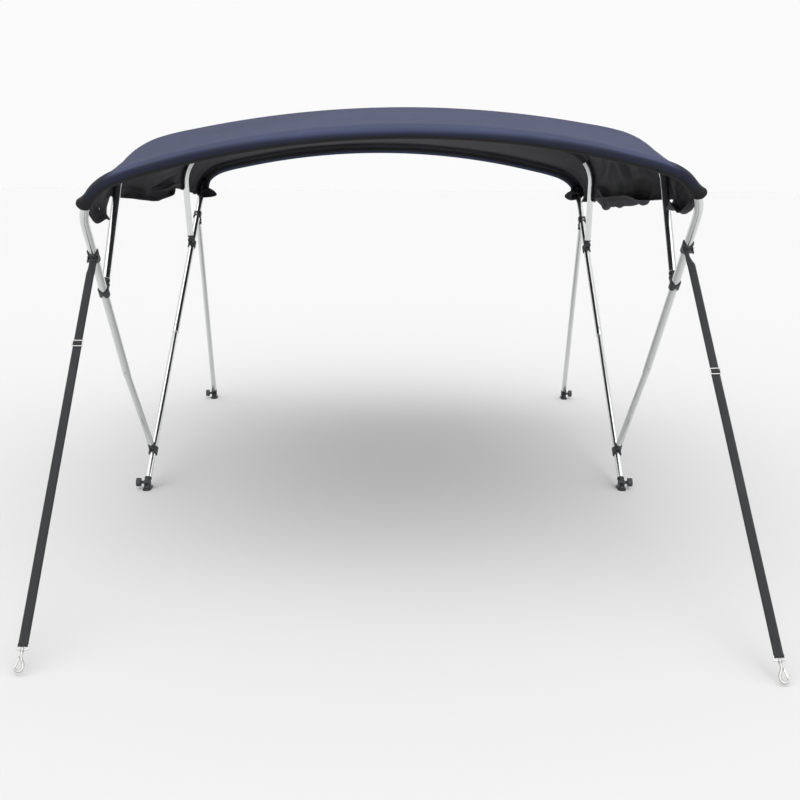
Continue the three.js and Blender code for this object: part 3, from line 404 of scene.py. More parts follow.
def side_point(first, last, at, side, down):
    """A point of a hanging side between two bows, part of the way down to the hem."""
    corner, foot = (side, 2, None), (side, None, None)
    high = mix(ridge_point(first, corner, RIDGE_RADIUS), ridge_point(last, corner, RIDGE_RADIUS), at)
    low = mix(ridge_point(first, foot, RIDGE_RADIUS, True), ridge_point(last, foot, RIDGE_RADIUS, True), at)
    row = hem_row(low[1])
    word = word_of(side)
    apart = min(1, min(at, 1 - at) * 4)
    curl = row[word + "_curl"] * apart
    inward = row[word + "_in"] * apart
    fall = high[2] - row[word]
    rolled = min(mix(CURL["short"], CURL["long"], curl), fall * 0.75)
    steps = SIDE_STATIONS - 2
    path = [(0.0, 0.0)]
    for i in range(1, steps + 1):
        turn = math.radians(CURL["angle"]) * curl * min((i - 0.5) / steps / CURL["turned"], 1)
        inward_by, fallen = path[-1]
        path.append((inward_by + rolled / steps * math.sin(turn), fallen + rolled / steps * math.cos(turn)))
    start = fall - max(0, *(spot[1] for spot in path))
    place = down * (SIDE_STATIONS - 1)
    index = round(place) - 1
    spot = (0, -start * (1 - place)) if index < 0 else path[index]
    f = (start + spot[1]) / fall
    return np.array([
        mix(high[0], low[0], f) - side * (inward * smooth(f) + spot[0]),
        mix(high[1], low[1], min(max(f, 0), 1)),
        high[2] - start - spot[1],
    ])


def cloth_point(column, station):
    """A point of the canopy's coarse grid."""
    bow, at, wrap = column
    if wrap is not None:
        return pocket_point(bow, station, wrap)
    if at == 0:
        return ridge_point(bow, station, RIDGE_RADIUS)
    first = bow - 1 if at < 0 else bow
    at = 1 + at if at < 0 else at
    side, across, down = station
    if down is not None:
        return side_point(first, first + 1, at, side, down)

    def edge(index):
        if index in (0, 3):
            return pocket_point(index, station, 0)
        return ridge_point(index, station, RIDGE_RADIUS)
    point = mix(edge(first), edge(first + 1), at)
    out = bow_station(first if at < 0.5 else first + 1, station)[1]
    sag = CLOTH["sag"] * 4 * at * (1 - at) * (2 - across if across > 1 else 1)
    return point - out * sag


def refine(grid, steps):
    """More rows between the rows of a grid of points, on smooth curves through them."""
    span = np.linalg.norm(np.diff(grid, axis=0), axis=-1, keepdims=True) + 1e-9
    slope = np.diff(grid, axis=0) / span
    tangent = np.empty_like(grid)
    tangent[1:-1] = (span[:-1] * slope[1:] + span[1:] * slope[:-1]) / (span[:-1] + span[1:])
    tangent[0], tangent[-1] = slope[0], slope[-1]
    rows = []
    for i, count in enumerate(steps):
        for k in range(count):
            f = k / count
            rows.append(
                (2 * f ** 3 - 3 * f ** 2 + 1) * grid[i] + (f ** 3 - 2 * f ** 2 + f) * span[i] * tangent[i]
                + (3 * f ** 2 - 2 * f ** 3) * grid[i + 1] + (f ** 3 - f ** 2) * span[i] * tangent[i + 1])
    rows.append(grid[-1])
    return np.array(rows)


def spread(values, steps):
    """Values at the refined rows, straight between those at the rows."""
    places = np.concatenate([i + np.arange(count) / count for i, count in enumerate(steps)] + [[len(steps)]])
    return np.interp(places, np.arange(len(values)), values)


def normals(grid):
    """Unit normals of a grid of points."""
    across = np.gradient(grid, axis=0)
    along = np.gradient(grid, axis=1)
    n = np.cross(across, along)
    return n / np.linalg.norm(n, axis=-1, keepdims=True)


class Sheet:
    """The canopy's outer face as a fine grid: a row for each place across, a column from front to rear."""

    def __init__(self):
        rows, cols = stations(), columns()
        coarse = np.array([[cloth_point(column, station) for column in cols] for station in rows])
        sides = CORNER_STEPS + SIDE_STATIONS - 1
        last = len(rows) - 1 - sides
        row_steps = [FINE["side"] if i < sides or i >= last else FINE["top"] for i in range(len(rows) - 1)]
        col_steps = []
        for a, b in zip(cols[:-1], cols[1:]):
            wrapped = a[2] is not None and b[2] is not None
            length = abs((b[0] + (b[1] or 0)) - (a[0] + (a[1] or 0)))
            col_steps.append(FINE["sleeve"] if wrapped else max(2, round(length * FINE["between"])))
        grid = refine(coarse, row_steps)
        grid = refine(grid.transpose(1, 0, 2), col_steps).transpose(1, 0, 2)
        place = [side * (across if across is not None else 2 + down) for side, across, down in rows]
        run = [bow + (at or 0) + (wrap or 0) * (-1 if bow == 0 else 1) for bow, at, wrap in cols]
        self.across = spread(place, row_steps)
        self.along = spread(run, col_steps)
        self.base = grid
        self.ridge = {name: self.column(i) for i, name in enumerate(BOWS)}

    def column(self, place):
        """The column nearest to a place along the cloth: 0 at the front bow, 3 at the main bow."""
        return int(np.argmin(abs(self.along - place)))


# Meshes

def new_piece(name, mesh):
    piece = bpy.data.objects.new(name, mesh)
    bpy.context.scene.collection.objects.link(piece)
    return piece


def mesh_from(name, points, faces):
    mesh = bpy.data.meshes.new(name)
    mesh.from_pydata([tuple(p) for p in points], [], faces)
    mesh.validate()
    return mesh


def smooth_shade(mesh, angle=40):
    mesh.shade_smooth()
    mesh.set_sharp_from_angle(angle=math.radians(angle))


def set_uv(mesh, coordinates):
    """The UV map "run" from one pair of numbers for each vertex."""
    layer = mesh.uv_layers.new(name="run")
    corner = np.empty(len(mesh.loops), int)
    mesh.loops.foreach_get("vertex_index", corner)
    layer.data.foreach_set("uv", np.asarray(coordinates, np.float32)[corner].ravel())


def set_attribute(mesh, name, values):
    layer = mesh.attributes.new(name, "FLOAT", "POINT")
    layer.data.foreach_set("value", np.asarray(values, np.float32).ravel())


def circle(radius, sides):
    """Points of a circle in the plane, one for each side."""
    turns = [2 * math.pi * k / sides for k in range(sides)]
    return [(radius * math.cos(a), radius * math.sin(a)) for a in turns]


def arc(radius, start, end, count):
    """Points of an arc in the plane, from one angle in degrees to another."""
    turns = np.radians(np.linspace(start, end, count))
    return [(radius * math.cos(a), radius * math.sin(a)) for a in turns]


def sweep_rings(path, section_at):
    """Rings of points along a path, each the section turned square to it without twist."""
    path = np.asarray(path, float)
    tangent = np.gradient(path, axis=0)
    tangent /= np.linalg.norm(tangent, axis=1, keepdims=True)
    side = unit(np.cross(tangent[0], [0.31, 0.2, 0.93]))
    rings = []
    for i, (point, ahead) in enumerate(zip(path, tangent)):
        side = unit(side - ahead * (side @ ahead))
        up = np.cross(ahead, side)
        rings.append([point + side * a + up * b for a, b in section_at(i)])
    return np.array(rings)


def closed_rings(name, rings, uv=None):
    """A closed mesh through rings of equally many points, with the UVs given or the way round and along."""
    count, sides = rings.shape[:2]
    points = rings.reshape(-1, 3)
    faces = []
    for r in range(count - 1):
        for i in range(sides):
            j = (i + 1) % sides
            faces.append((r * sides + i, r * sides + j, (r + 1) * sides + j, (r + 1) * sides + i))
    faces.append(tuple(reversed(range(sides))))
    faces.append(tuple((count - 1) * sides + i for i in range(sides)))
    mesh = mesh_from(name, points, faces)
    if uv is None:
        length = np.concatenate([[0], np.cumsum(np.linalg.norm(np.diff(rings.mean(1), axis=0), axis=1))])
        uv = [(abs(2 * i / sides - 1), length[r]) for r in range(count) for i in range(sides)]
    set_uv(mesh, uv)
    return outward(mesh)


def outward(mesh):
    """Turns the faces of a closed mesh outward."""
    work = bmesh.new()
    work.from_mesh(mesh)
    bmesh.ops.recalc_face_normals(work, faces=work.faces)
    if work.calc_volume(signed=True) < 0:
        bmesh.ops.reverse_faces(work, faces=work.faces)
    work.to_mesh(mesh)
    work.free()
    return mesh


def round_tube(name, path, radius):
    """A round tube along a path in millimetres, its ends slightly rounded over."""
    path = np.asarray(path, float)
    lip, part = TUBE_LIP, TUBE_LIP * 0.3
    first, last = unit(path[1] - path[0]), unit(path[-2] - path[-1])
    path = np.concatenate([[path[0], path[0] + first * part, path[0] + first * lip], path[1:-1],
                           [path[-1] + last * lip, path[-1] + last * part, path[-1]]])
    inset = {0: lip, 1: part, len(path) - 2: part, len(path) - 1: lip}
    rings = sweep_rings(path, lambda i: circle(radius - inset.get(i, 0), TUBE_SIDES))
    mesh = closed_rings(name, metres(rings))
    smooth_shade(mesh, 50)
    return mesh


def spin(profile, sides=40):
    """A body turned about z from (radius, height) pairs, the first and last on the axis."""
    work = bmesh.new()
    rings = []
    for radius, height in profile:
        if radius == 0:
            rings.append([work.verts.new((0, 0, height))])
        else:
            rings.append([work.verts.new((x, y, height)) for x, y in circle(radius, sides)])
    for low, high in zip(rings[:-1], rings[1:]):
        for k in range(sides):
            a, b = k, (k + 1) % sides
            loop = [low[a % len(low)], low[b % len(low)], high[b % len(high)], high[a % len(high)]]
            loop = list(dict.fromkeys(loop))
            if len(loop) > 2:
                work.faces.new(loop)
    return work


# Turns a plate from the XY plane into the YZ plane
STANDING = Matrix(((0, 0, 1, 0), (1, 0, 0, 0), (0, 1, 0, 0), (0, 0, 0, 1)))


def prism(outline, low, high):
    """A body with the outline in x and y, from one height to another."""
    work = bmesh.new()
    bottom = [work.verts.new((x, y, low)) for x, y in outline]
    top = [work.verts.new((x, y, high)) for x, y in outline]
    work.faces.new(bottom[::-1])
    work.faces.new(top)
    for i in range(len(outline)):
        j = (i + 1) % len(outline)
        work.faces.new((bottom[i], bottom[j], top[j], top[i]))
    return work


def rotated(work, matrix):
    bmesh.ops.transform(work, matrix=matrix, verts=work.verts)
    return work


def turned_to(work, axis):
    """Turns a body from the z axis to the x or y axis."""
    return rotated(work, quarter("Y") if axis == "x" else quarter("X", -1))


def quarter(axis, way=1):
    return Matrix.Rotation(way * math.pi / 2, 4, axis)


def shifted(work, x=0, y=0, z=0):
    bmesh.ops.translate(work, vec=(x, y, z), verts=work.verts)
    return work


def rod(axis, radius, low, high, sides=32, rounding=0):
    """A round bar about an axis, from one place on it to another."""
    foot, head = [(radius, low)], [(radius, high)]
    if rounding:
        foot = [(radius - rounding, low), (radius, low + rounding)]
        head = [(radius, high - rounding), (radius - rounding, high)]
    work = spin([(0, low), *foot, *head, (0, high)], sides)
    return work if axis == "z" else turned_to(work, axis)


def lug(reach, radius, thickness, offset):
    """A plate in the YZ plane, rounded about (0, reach) and straight down to 0."""
    outline = [(x, y + reach) for x, y in arc(radius, 0, 180, 17)] + [(-radius, 0), (radius, 0)]
    return shifted(rotated(prism(outline, -thickness / 2, thickness / 2), STANDING), x=offset)


def mesh_of(name, work):
    """The mesh of a body, its faces outward; the body itself goes."""
    mesh = bpy.data.meshes.new(name)
    bmesh.ops.recalc_face_normals(work, faces=work.faces)
    work.to_mesh(mesh)
    work.free()
    return mesh


def finished(piece):
    """Applies the modifiers of a piece and returns its mesh; the piece itself goes."""
    graph = bpy.context.evaluated_depsgraph_get()
    mesh = bpy.data.meshes.new_from_object(piece.evaluated_get(graph))
    bpy.data.objects.remove(piece)
    return mesh


def shaped(parts, cuts=(), soften=0.8, angle=30):
    """Joins bodies, cuts others out of them and rounds the edges; all in millimetres."""
    base = new_piece("base", mesh_of("base", parts[0]))
    tools = []
    for operation, bodies in (("UNION", parts[1:]), ("DIFFERENCE", cuts)):
        for body in bodies:
            tool = new_piece("tool", mesh_of("tool", body))
            tools.append(tool)
            step = base.modifiers.new("step", "BOOLEAN")
            step.operation, step.object, step.solver = operation, tool, "EXACT"
    if soften:
        bevel = base.modifiers.new("edges", "BEVEL")
        bevel.width, bevel.segments, bevel.angle_limit = soften, 3, math.radians(angle)
        bevel.harden_normals = False
    bpy.context.view_layer.update()
    mesh = finished(base)
    for tool in tools:
        bpy.data.objects.remove(tool)
    mesh.validate()
    smooth_shade(mesh, 38)
    return mesh


def dress(piece, body, slot, *nodes, finishes=()):
    """Gives a piece its body and its finishes, the slot's finish where none are named, and hides the solids that
    it stands for.
    """
    for name in finishes or (slot,):
        piece.data.materials.append(finish(name))
    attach(piece, body)
    if nodes:
        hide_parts(*nodes)


def fit(name, mesh, place, body, slot, *nodes):
    """Sets a copy of a fitting, whose mesh is in millimetres, at a place of the frame and dresses it."""
    copy = mesh.copy()
    matrix = np.eye(4)
    matrix[:3, :3] = place[:3, :3] / 1000
    matrix[:3, 3] = metres(place[:3, 3])
    copy.transform(Matrix(matrix.tolist()))
    dress(new_piece(name, copy), body, slot, *nodes)


# Finishes

class Wire:
    """A shader socket that can stand in a Python expression; each operation adds its Math node."""

    def __init__(self, finish, socket):
        self.finish = finish
        self.socket = socket

    def _math(self, operation, *values):
        inputs = {str(i): value for i, value in enumerate(values)}
        return self.finish.node("ShaderNodeMath", {"operation": operation}, **inputs)

    def __add__(self, other):
        return self._math("ADD", self, other)

    def __radd__(self, other):
        return self._math("ADD", other, self)

    def __sub__(self, other):
        return self._math("SUBTRACT", self, other)

    def __rsub__(self, other):
        return self._math("SUBTRACT", other, self)

    def __mul__(self, other):
        return self._math("MULTIPLY", self, other)

    def __rmul__(self, other):
        return self._math("MULTIPLY", other, self)

    def sine(self):
        return self._math("SINE", self)

    def size(self):
        return self._math("ABSOLUTE", self)

    def fraction(self):
        return self._math("FRACT", self)

    def most(self, other):
        return self._math("MAXIMUM", self, other)

    def between(self, low, high):
        """0 at low and below, 1 at high and above, smooth between; low may be the larger."""
        values = {"Value": self, "From Min": min(low, high), "From Max": max(low, high)}
        if low > high:
            values.update({"To Min": 1.0, "To Max": 0.0})
        return self.finish.node("ShaderNodeMapRange", {"interpolation_type": "SMOOTHSTEP"}, **values)


class Finish:
    """A procedural material around one Principled shader."""

    def __init__(self, name):
        self.material = bpy.data.materials.new(name)
        self.material.use_nodes = True
        self.tree = self.material.node_tree
        self.tree.nodes.clear()
        output = self.tree.nodes.new("ShaderNodeOutputMaterial")
        self.shader = self.tree.nodes.new("ShaderNodeBsdfPrincipled")
        self.tree.links.new(self.shader.outputs[0], output.inputs["Surface"])

    def feed(self, socket, value):
        if isinstance(value, Wire):
            self.tree.links.new(value.socket, socket)
        elif hasattr(socket.default_value, "__len__") and len(socket.default_value) == 4 and len(value) == 3:
            socket.default_value = (*value, 1)
        else:
            socket.default_value = value

    def node(self, kind, settings=None, output=0, **values):
        node = self.tree.nodes.new(kind)
        for key, value in (settings or {}).items():
            setattr(node, key, value)
        for key, value in values.items():
            socket = node.inputs[int(key)] if key.isdigit() else node.inputs[key]
            self.feed(socket, value)
        return Wire(self, node.outputs[output])

    def attribute(self, name):
        return self.node("ShaderNodeAttribute", {"attribute_name": name}, output="Fac")

    def run(self, scale=(1.0, 1.0, 1.0)):
        """The piece's UV map, stretched: across it, and along it in metres."""
        return self.stretched(self.node("ShaderNodeUVMap", {"uv_map": "run"}), scale)

    def across_and_along(self):
        place = self.node("ShaderNodeUVMap", {"uv_map": "run"})
        return (self.node("ShaderNodeSeparateXYZ", Vector=place),
                self.node("ShaderNodeSeparateXYZ", output=1, Vector=place))

    def place(self):
        return self.node("ShaderNodeTexCoord", output="Object")

    def stretched(self, vector, scale):
        return self.node("ShaderNodeVectorMath", {"operation": "MULTIPLY"}, **{"0": vector, "1": scale})

    def noise(self, scale, detail=3, roughness=0.55, vector=None):
        vector = vector or self.place()
        values = {"Vector": vector, "Scale": scale, "Detail": detail, "Roughness": roughness}
        return self.node("ShaderNodeTexNoise", None, **values)

    def blend(self, factor, first, second):
        """One colour over another by a factor from 0 to 1."""
        node = self.tree.nodes.new("ShaderNodeMix")
        node.data_type = "RGBA"
        self.feed(node.inputs[0], factor)
        self.feed(node.inputs[6], first)
        self.feed(node.inputs[7], second)
        return Wire(self, node.outputs[2])

    def bump(self, height, distance, strength=1.0):
        values = {"Height": height, "Distance": distance, "Strength": strength}
        return self.node("ShaderNodeBump", None, **values)

    def set(self, **values):
        names = {"colour": "Base Color", "roughness": "Roughness", "metallic": "Metallic", "normal": "Normal",
                 "sheen": "Sheen Weight", "sheen_roughness": "Sheen Roughness",
                 "specular": "Specular IOR Level", "anisotropic": "Anisotropic"}
        for key, value in values.items():
            self.feed(self.shader.inputs[names[key]], value)
        return self.material


# Rows of stitches and the puckers between them, in metres from the hem or from the bow that they run along
SLEEVE_ROWS, POCKET_ROWS = (0.046, 0.052), (-0.034, 0.034)
STITCH_ROWS = {
    "hem": (0.004, 0.022), "fore": SLEEVE_ROWS, "aft": SLEEVE_ROWS,
    "second": POCKET_ROWS, "third": POCKET_ROWS}
PUCKERS = {"hem": (0.013,), "fore": (0.049,), "aft": (0.049,), "second": POCKET_ROWS, "third": POCKET_ROWS}
PUCKER_REACH = 0.007
STITCH = {"length": 0.0042, "core": 0.0005, "edge": 0.0011}
# From one thread of the cloth to the next but one, in metres
WEAVE = 0.0016
FLOOR_GREY = (0.645, 0.645, 0.645)


def toned(colour, share, lift=0.0):
    """A darker or lighter tone of a colour."""
    return tuple(min(1, c * share + lift) for c in colour)


def strongest(masks):
    result = None
    for mask in masks:
        result = mask if result is None else result.most(mask)
    return result


def stitches(gap, run):
    """Where a row of stitches lies, `gap` being the distance from the row and `run` the way along it."""
    row = gap.size().between(STITCH["edge"], STITCH["core"])
    beat = (run * (1 / STITCH["length"])).fraction()
    return row * (beat.between(0.16, 0.26) * beat.between(0.92, 0.82))


def cloth_finish(name, colour, shade, thread, sheen, roughness, specular):
    """Woven cloth with double rows of stitches along its seams, painted shade in the turn under the front
    sleeve, and folds that are worn lighter with a painted highlight on their crests and painted darker in their
    troughs as shade.
    """
    f = Finish(name)
    u, v = f.across_and_along()
    cross = (u * (2 * math.pi / WEAVE)).sine() * (v * (2 * math.pi / WEAVE)).sine()
    slub = f.noise(900, 2, vector=f.run((0.25, 1.0, 1.0)))
    broad = f.noise(2.2, 4)
    patch = f.noise(14, 5, 0.6)
    tone = f.blend(broad.between(0.35, 0.7), colour, shade)
    tone = f.blend((cross * 0.5 + 0.5) * 0.16, tone, toned(colour, 0.45))
    tone = f.blend(patch.between(0.55, 0.8) * 0.22, tone, toned(colour, 1.5, 0.01))
    gaps = {seam: f.attribute(seam) for seam in STITCH_ROWS}
    rows = strongest(stitches(gaps[seam] - place, v if seam == "hem" else u)
                     for seam, places in STITCH_ROWS.items() for place in places)
    pucker = strongest((gaps[seam] - place).size().between(PUCKER_REACH, 0.0)
                       for seam, places in PUCKERS.items() for place in places)
    tone = f.blend(pucker * 0.28, tone, toned(colour, 0.4))
    tone = f.blend(rows * 0.85, tone, thread)
    # Painted shade: the cloth darkens where its sleeve turns under the front bow and at the front corners
    tone = f.blend(f.attribute("dusk") * 0.8, tone, toned(colour, 0.06, 0.006))
    fold = f.attribute("crest")
    # Fold crests lighter, worn and painted highlight; fold troughs darker, painted shade
    tone = f.blend(fold.between(0.45, 1.0) * 0.4, tone, toned(colour, 1.45, 0.012))
    tone = f.blend(fold.between(0.32, 0.0) * 0.5, tone, toned(colour, 0.4))
    wrinkle = f.noise(55, 4, 0.6)
    height = cross * 0.10 + slub * 0.10 + wrinkle * 0.5 + rows * 0.9 - pucker * 0.8
    return f.set(
        colour=tone, roughness=roughness + patch * 0.12 - 0.06, sheen=sheen, sheen_roughness=0.45,
        specular=specular, normal=f.bump(height, 0.0009, 0.55))


def webbing_finish(name, colour):
    """Flat webbing: ribs across it, a herringbone between woven edges, and sewn ends."""
    f = Finish(name)
    along = f.across_and_along()[1]
    side = f.attribute("width")
    rib = (along * (2 * math.pi / 0.0017)).sine() * 0.5 + 0.5
    slant = ((along * (1 / 0.0032) + (side * 3.5).size()) * (2 * math.pi)).sine() * 0.5 + 0.5
    edge = side.size().between(0.84, 0.93)
    broad = f.noise(9, 4)
    tone = f.blend(rib * 0.55, toned(colour, 0.55), colour)
    tone = f.blend(slant * 0.25, tone, toned(colour, 1.5))
    tone = f.blend(edge * 0.45, tone, toned(colour, 0.4))
    tone = f.blend(broad.between(0.5, 0.75) * 0.35, tone, toned(colour, 1.7, 0.004))
    beat = (along * (1 / 0.004)).fraction().between(0.2, 0.35)
    box = f.attribute("sewn").between(0.4, 0.6) * beat * side.size().between(0.8, 0.7)
    stitch = box * ((side * 3).size() - 2).size().between(0.35, 0.15)
    tone = f.blend(stitch * 0.6, tone, toned(colour, 2.6))
    height = rib * 0.6 + slant * 0.35 - edge * 0.5 + stitch * 0.6
    return f.set(colour=tone, roughness=0.72 + broad * 0.15, sheen=0.25, sheen_roughness=0.4, specular=0.4,
                 normal=f.bump(height, 0.0006, 0.7))


def tube_finish(name, colour):
    """Bright anodised aluminium: fine darker lines along the tube, part drawing lines and part painted
    reflection, and light handling marks.
    """
    f = Finish(name)
    lines = f.noise(60, 3, 0.6, f.run((6.0, 0.35, 1.0)))
    cloud = f.noise(7, 4)
    marks = f.noise(38, 6, 0.65).between(0.62, 0.72)
    tone = f.blend(cloud.between(0.35, 0.7) * 0.5, colour, toned(colour, 0.9))
    tone = f.blend(marks * 0.18, tone, toned(colour, 0.62))
    # The lines along the tube are darkened in colour: partly drawing lines, partly painted reflection
    tone = f.blend(lines.between(0.4, 0.62) * 0.35, tone, toned(colour, 0.72))
    return f.set(colour=tone, metallic=1.0, roughness=0.15 + lines * 0.08 + marks * 0.10, anisotropic=0.35,
                 normal=f.bump(lines * 0.4 + marks * 0.3, 0.00012, 0.35))


def nylon_finish(name, colour):
    """Moulded black nylon: fine grain, a soft sheen and greyed, worn edges."""
    f = Finish(name)
    grain = f.noise(2600, 2)
    cloud = f.noise(30, 4)
    wear = f.node("ShaderNodeNewGeometry", output="Pointiness").between(0.52, 0.58)
    scratch = f.noise(240, 5, 0.7)
    tone = f.blend(cloud.between(0.4, 0.7) * 0.6, colour, toned(colour, 1.8, 0.004))
    tone = f.blend(wear * scratch.between(0.4, 0.6) * 0.35, tone, toned(colour, 4, 0.02))
    return f.set(colour=tone, roughness=0.42 + cloud * 0.14, specular=0.5,
                 normal=f.bump(grain * 0.5 + scratch * 0.3, 0.00015, 0.5))


def steel_finish(name, colour):
    """Bright steel with fine scratches and a little tarnish."""
    f = Finish(name)
    scratch = f.noise(420, 5, 0.7, f.stretched(f.place(), (1.0, 1.0, 0.15)))
    cloud = f.noise(60, 4)
    tone = f.blend(cloud.between(0.5, 0.75) * 0.5, colour, toned(colour, 0.72))
    return f.set(colour=tone, metallic=1.0, roughness=0.16 + scratch * 0.12 + cloud * 0.06,
                 normal=f.bump(scratch, 0.00008, 0.4))


def floor_finish(name, colour):
    """Pale matt floor, faintly clouded."""
    f = Finish(name)
    cloud = f.noise(0.8, 3)
    tone = f.blend(cloud * 0.05, colour, toned(colour, 0.96))
    return f.set(colour=tone, roughness=0.85 + cloud * 0.05, specular=0.1)


FINISHES = {}


def finish(name):
    """Each finish is made once, from the colours in the sidebar."""
    c = bpy.context.scene.bimini_colours
    if name in FINISHES:
        return FINISHES[name]
    makers = {
        "canopy": (cloth_finish, "canopy_cloth", tuple(c.cloth), toned(c.cloth, 0.86), toned(c.cloth, 1.25),
                   0.05, 0.85, 0.02),
        "lining": (cloth_finish, "canopy_lining", tuple(c.lining), toned(c.lining, 0.8), toned(c.lining, 1.8),
                   0.03, 0.72, 0.1),
        "webbing": (webbing_finish, "strap_webbing", tuple(c.webbing)),
        "tube": (tube_finish, "frame_tube", tuple(c.tube)),
        "nylon": (nylon_finish, "black_nylon", tuple(c.nylon)),
        "steel": (steel_finish, "bright_steel", tuple(c.steel)),
        "floor": (floor_finish, "pale_floor", FLOOR_GREY),
    }
    make, *values = makers[name]
    FINISHES[name] = make(*values)
    return FINISHES[name]


# Cloth pieces

# Creases of the hanging sides, each from one place to another. A place is how far across the cloth (1 at a
# bow's shoulder, 2 at the top of its leg, 3 at the hem) and along it (0 at the front bow, 3 at the main bow).
# Its depth is in millimetres, outward where it is positive, and its width is in the units of the way along.
CREASE_COLUMNS = ("side", "across_0", "along_0", "across_1", "along_1", "depth", "width")
CREASES = [dict(zip(CREASE_COLUMNS, row)) for row in (
    (1, 1.45, 1.52, 1.95, 1.84, -11, 0.028),
    (1, 1.40, 1.62, 1.92, 1.93, 10, 0.035),
    (1, 1.40, 1.54, 2.08, 1.55, -10, 0.030),
    (1, 1.45, 1.46, 2.06, 1.45, 8, 0.035),
    (1, 1.50, 1.30, 2.06, 1.34, -6, 0.040),
    (1, 1.60, 1.20, 2.04, 1.16, 6, 0.040),
    (1, 2.05, 2.00, 2.09, 1.68, 18, 0.026),
    (1, 2.09, 1.68, 2.05, 1.46, 19, 0.026),
    (1, 2.05, 1.46, 2.05, 1.14, 16, 0.026),
    (1, 2.26, 1.96, 2.28, 1.74, -13, 0.045),
    (1, 2.28, 1.60, 2.24, 1.28, -14, 0.045),
    (1, 2.24, 1.18, 2.22, 1.04, -11, 0.040),
    (1, 2.10, 1.69, 2.90, 1.66, 14, 0.018),
    (1, 2.10, 1.22, 2.90, 1.23, 14, 0.018),
    (1, 2.15, 1.46, 2.60, 1.50, 6, 0.020),
    (1, 1.00, 1.94, 1.80, 1.66, -6, 0.045),
    (1, 1.00, 1.08, 1.90, 1.36, -5, 0.045),
    (1, 1.92, 0.96, 2.12, 0.30, 14, 0.035),
    (1, 1.70, 0.94, 1.95, 0.34, -10, 0.050),
    (1, 2.26, 0.80, 2.28, 0.36, -13, 0.050),
    (1, 2.20, 0.58, 2.90, 0.56, 11, 0.022),
    (1, 1.40, 0.30, 2.40, 0.24, -6, 0.050),
    (1, 1.20, 2.10, 2.60, 2.30, -8, 0.050),
    (1, 1.00, 2.80, 2.50, 2.60, -8, 0.060),
    (-1, 2.10, 1.52, 1.80, 1.96, 16, 0.026),
    (-1, 2.28, 1.62, 1.98, 1.98, -14, 0.038),
    (-1, 1.90, 1.40, 1.60, 1.90, -10, 0.040),
    (-1, 1.70, 1.20, 1.45, 1.80, 8, 0.045),
    (-1, 2.02, 1.12, 2.08, 1.42, 10, 0.030),
    (-1, 2.20, 1.16, 2.96, 1.14, 10, 0.030),
    (-1, 2.20, 1.30, 2.96, 1.31, -10, 0.035),
    (-1, 2.20, 1.42, 2.96, 1.44, 13, 0.022),
    (-1, 2.30, 1.74, 2.90, 1.70, 10, 0.024),
    (-1, 1.00, 1.96, 1.70, 1.72, -6, 0.045),
    (-1, 1.80, 0.92, 2.05, 0.34, 13, 0.035),
    (-1, 1.60, 0.90, 1.85, 0.36, -10, 0.045),
    (-1, 2.20, 0.66, 2.90, 0.62, 11, 0.024),
    (-1, 2.25, 0.86, 2.30, 0.70, -10, 0.040),
    (-1, 1.40, 0.26, 2.60, 0.30, 8, 0.050),
    (-1, 1.20, 2.16, 2.60, 2.34, -8, 0.050),
    (-1, 1.10, 2.84, 2.50, 2.56, -8, 0.060),
)]
# Small waves of the hanging cloth: millimetres high, turns along the cloth, shift by side and by place across
WAVES = ((1.5, 17.3, 1.1, 0.6), (1.1, 29.1, 2.3, -0.8), (0.7, 47.7, 0.4, 0.0))
# Where the cloth is double and stands proud, in millimetres: near the hem, and between two lines by the bows
SEAM = {"lift": 0.7, "hem": 24, "hem_fade": 4, "near": 6, "near_fade": 12, "far": 54, "far_fade": 5}
POCKET_WIDTH = 0.06
POCKET_STEPS = 11
# How loosely a pocket strip lies: millimetres high, turns along the strip, shift
POCKET_LOOSE = ((0.5, 31, 0), (0.4, 73, 1))
# The seam distance at a pocket strip's edge, so that its rows of stitches lie 2 and 8 mm from it
POCKET_EDGE = 0.044
CLOSING = {"reach": 0.05, "across": 1.7, "thickness": 1.2, "sag": 2.5, "steps": 7}
# What the cloth finish reads where a piece has no seam near it (a metre off) and no fold
NO_SEAM = 1.0
NO_FOLD = 0.4
# A sleeve's outer face is navy down to this part of the way round its bow, and from there on takes the dark
# lining finish as painted shade; the hanging sides take it as painted shade from this place across the bows down
# to their hem
SHADE_PAINTED_FROM = {"front": 0.37, "main": 0.8, "hem": 2.12}
# Painted shade where the sleeve's cloth turns away from the light: part of the way round the bow, how much
# sooner at the sides, over how much of the way, and how dark; and the same for the front corners
DUSK = {
    "from": 0.17, "sooner": 0.14, "over": 0.2, "most": 0.95,
    "corner": 0.95, "corner_over": 0.4, "behind": 0.1, "behind_over": 0.08}


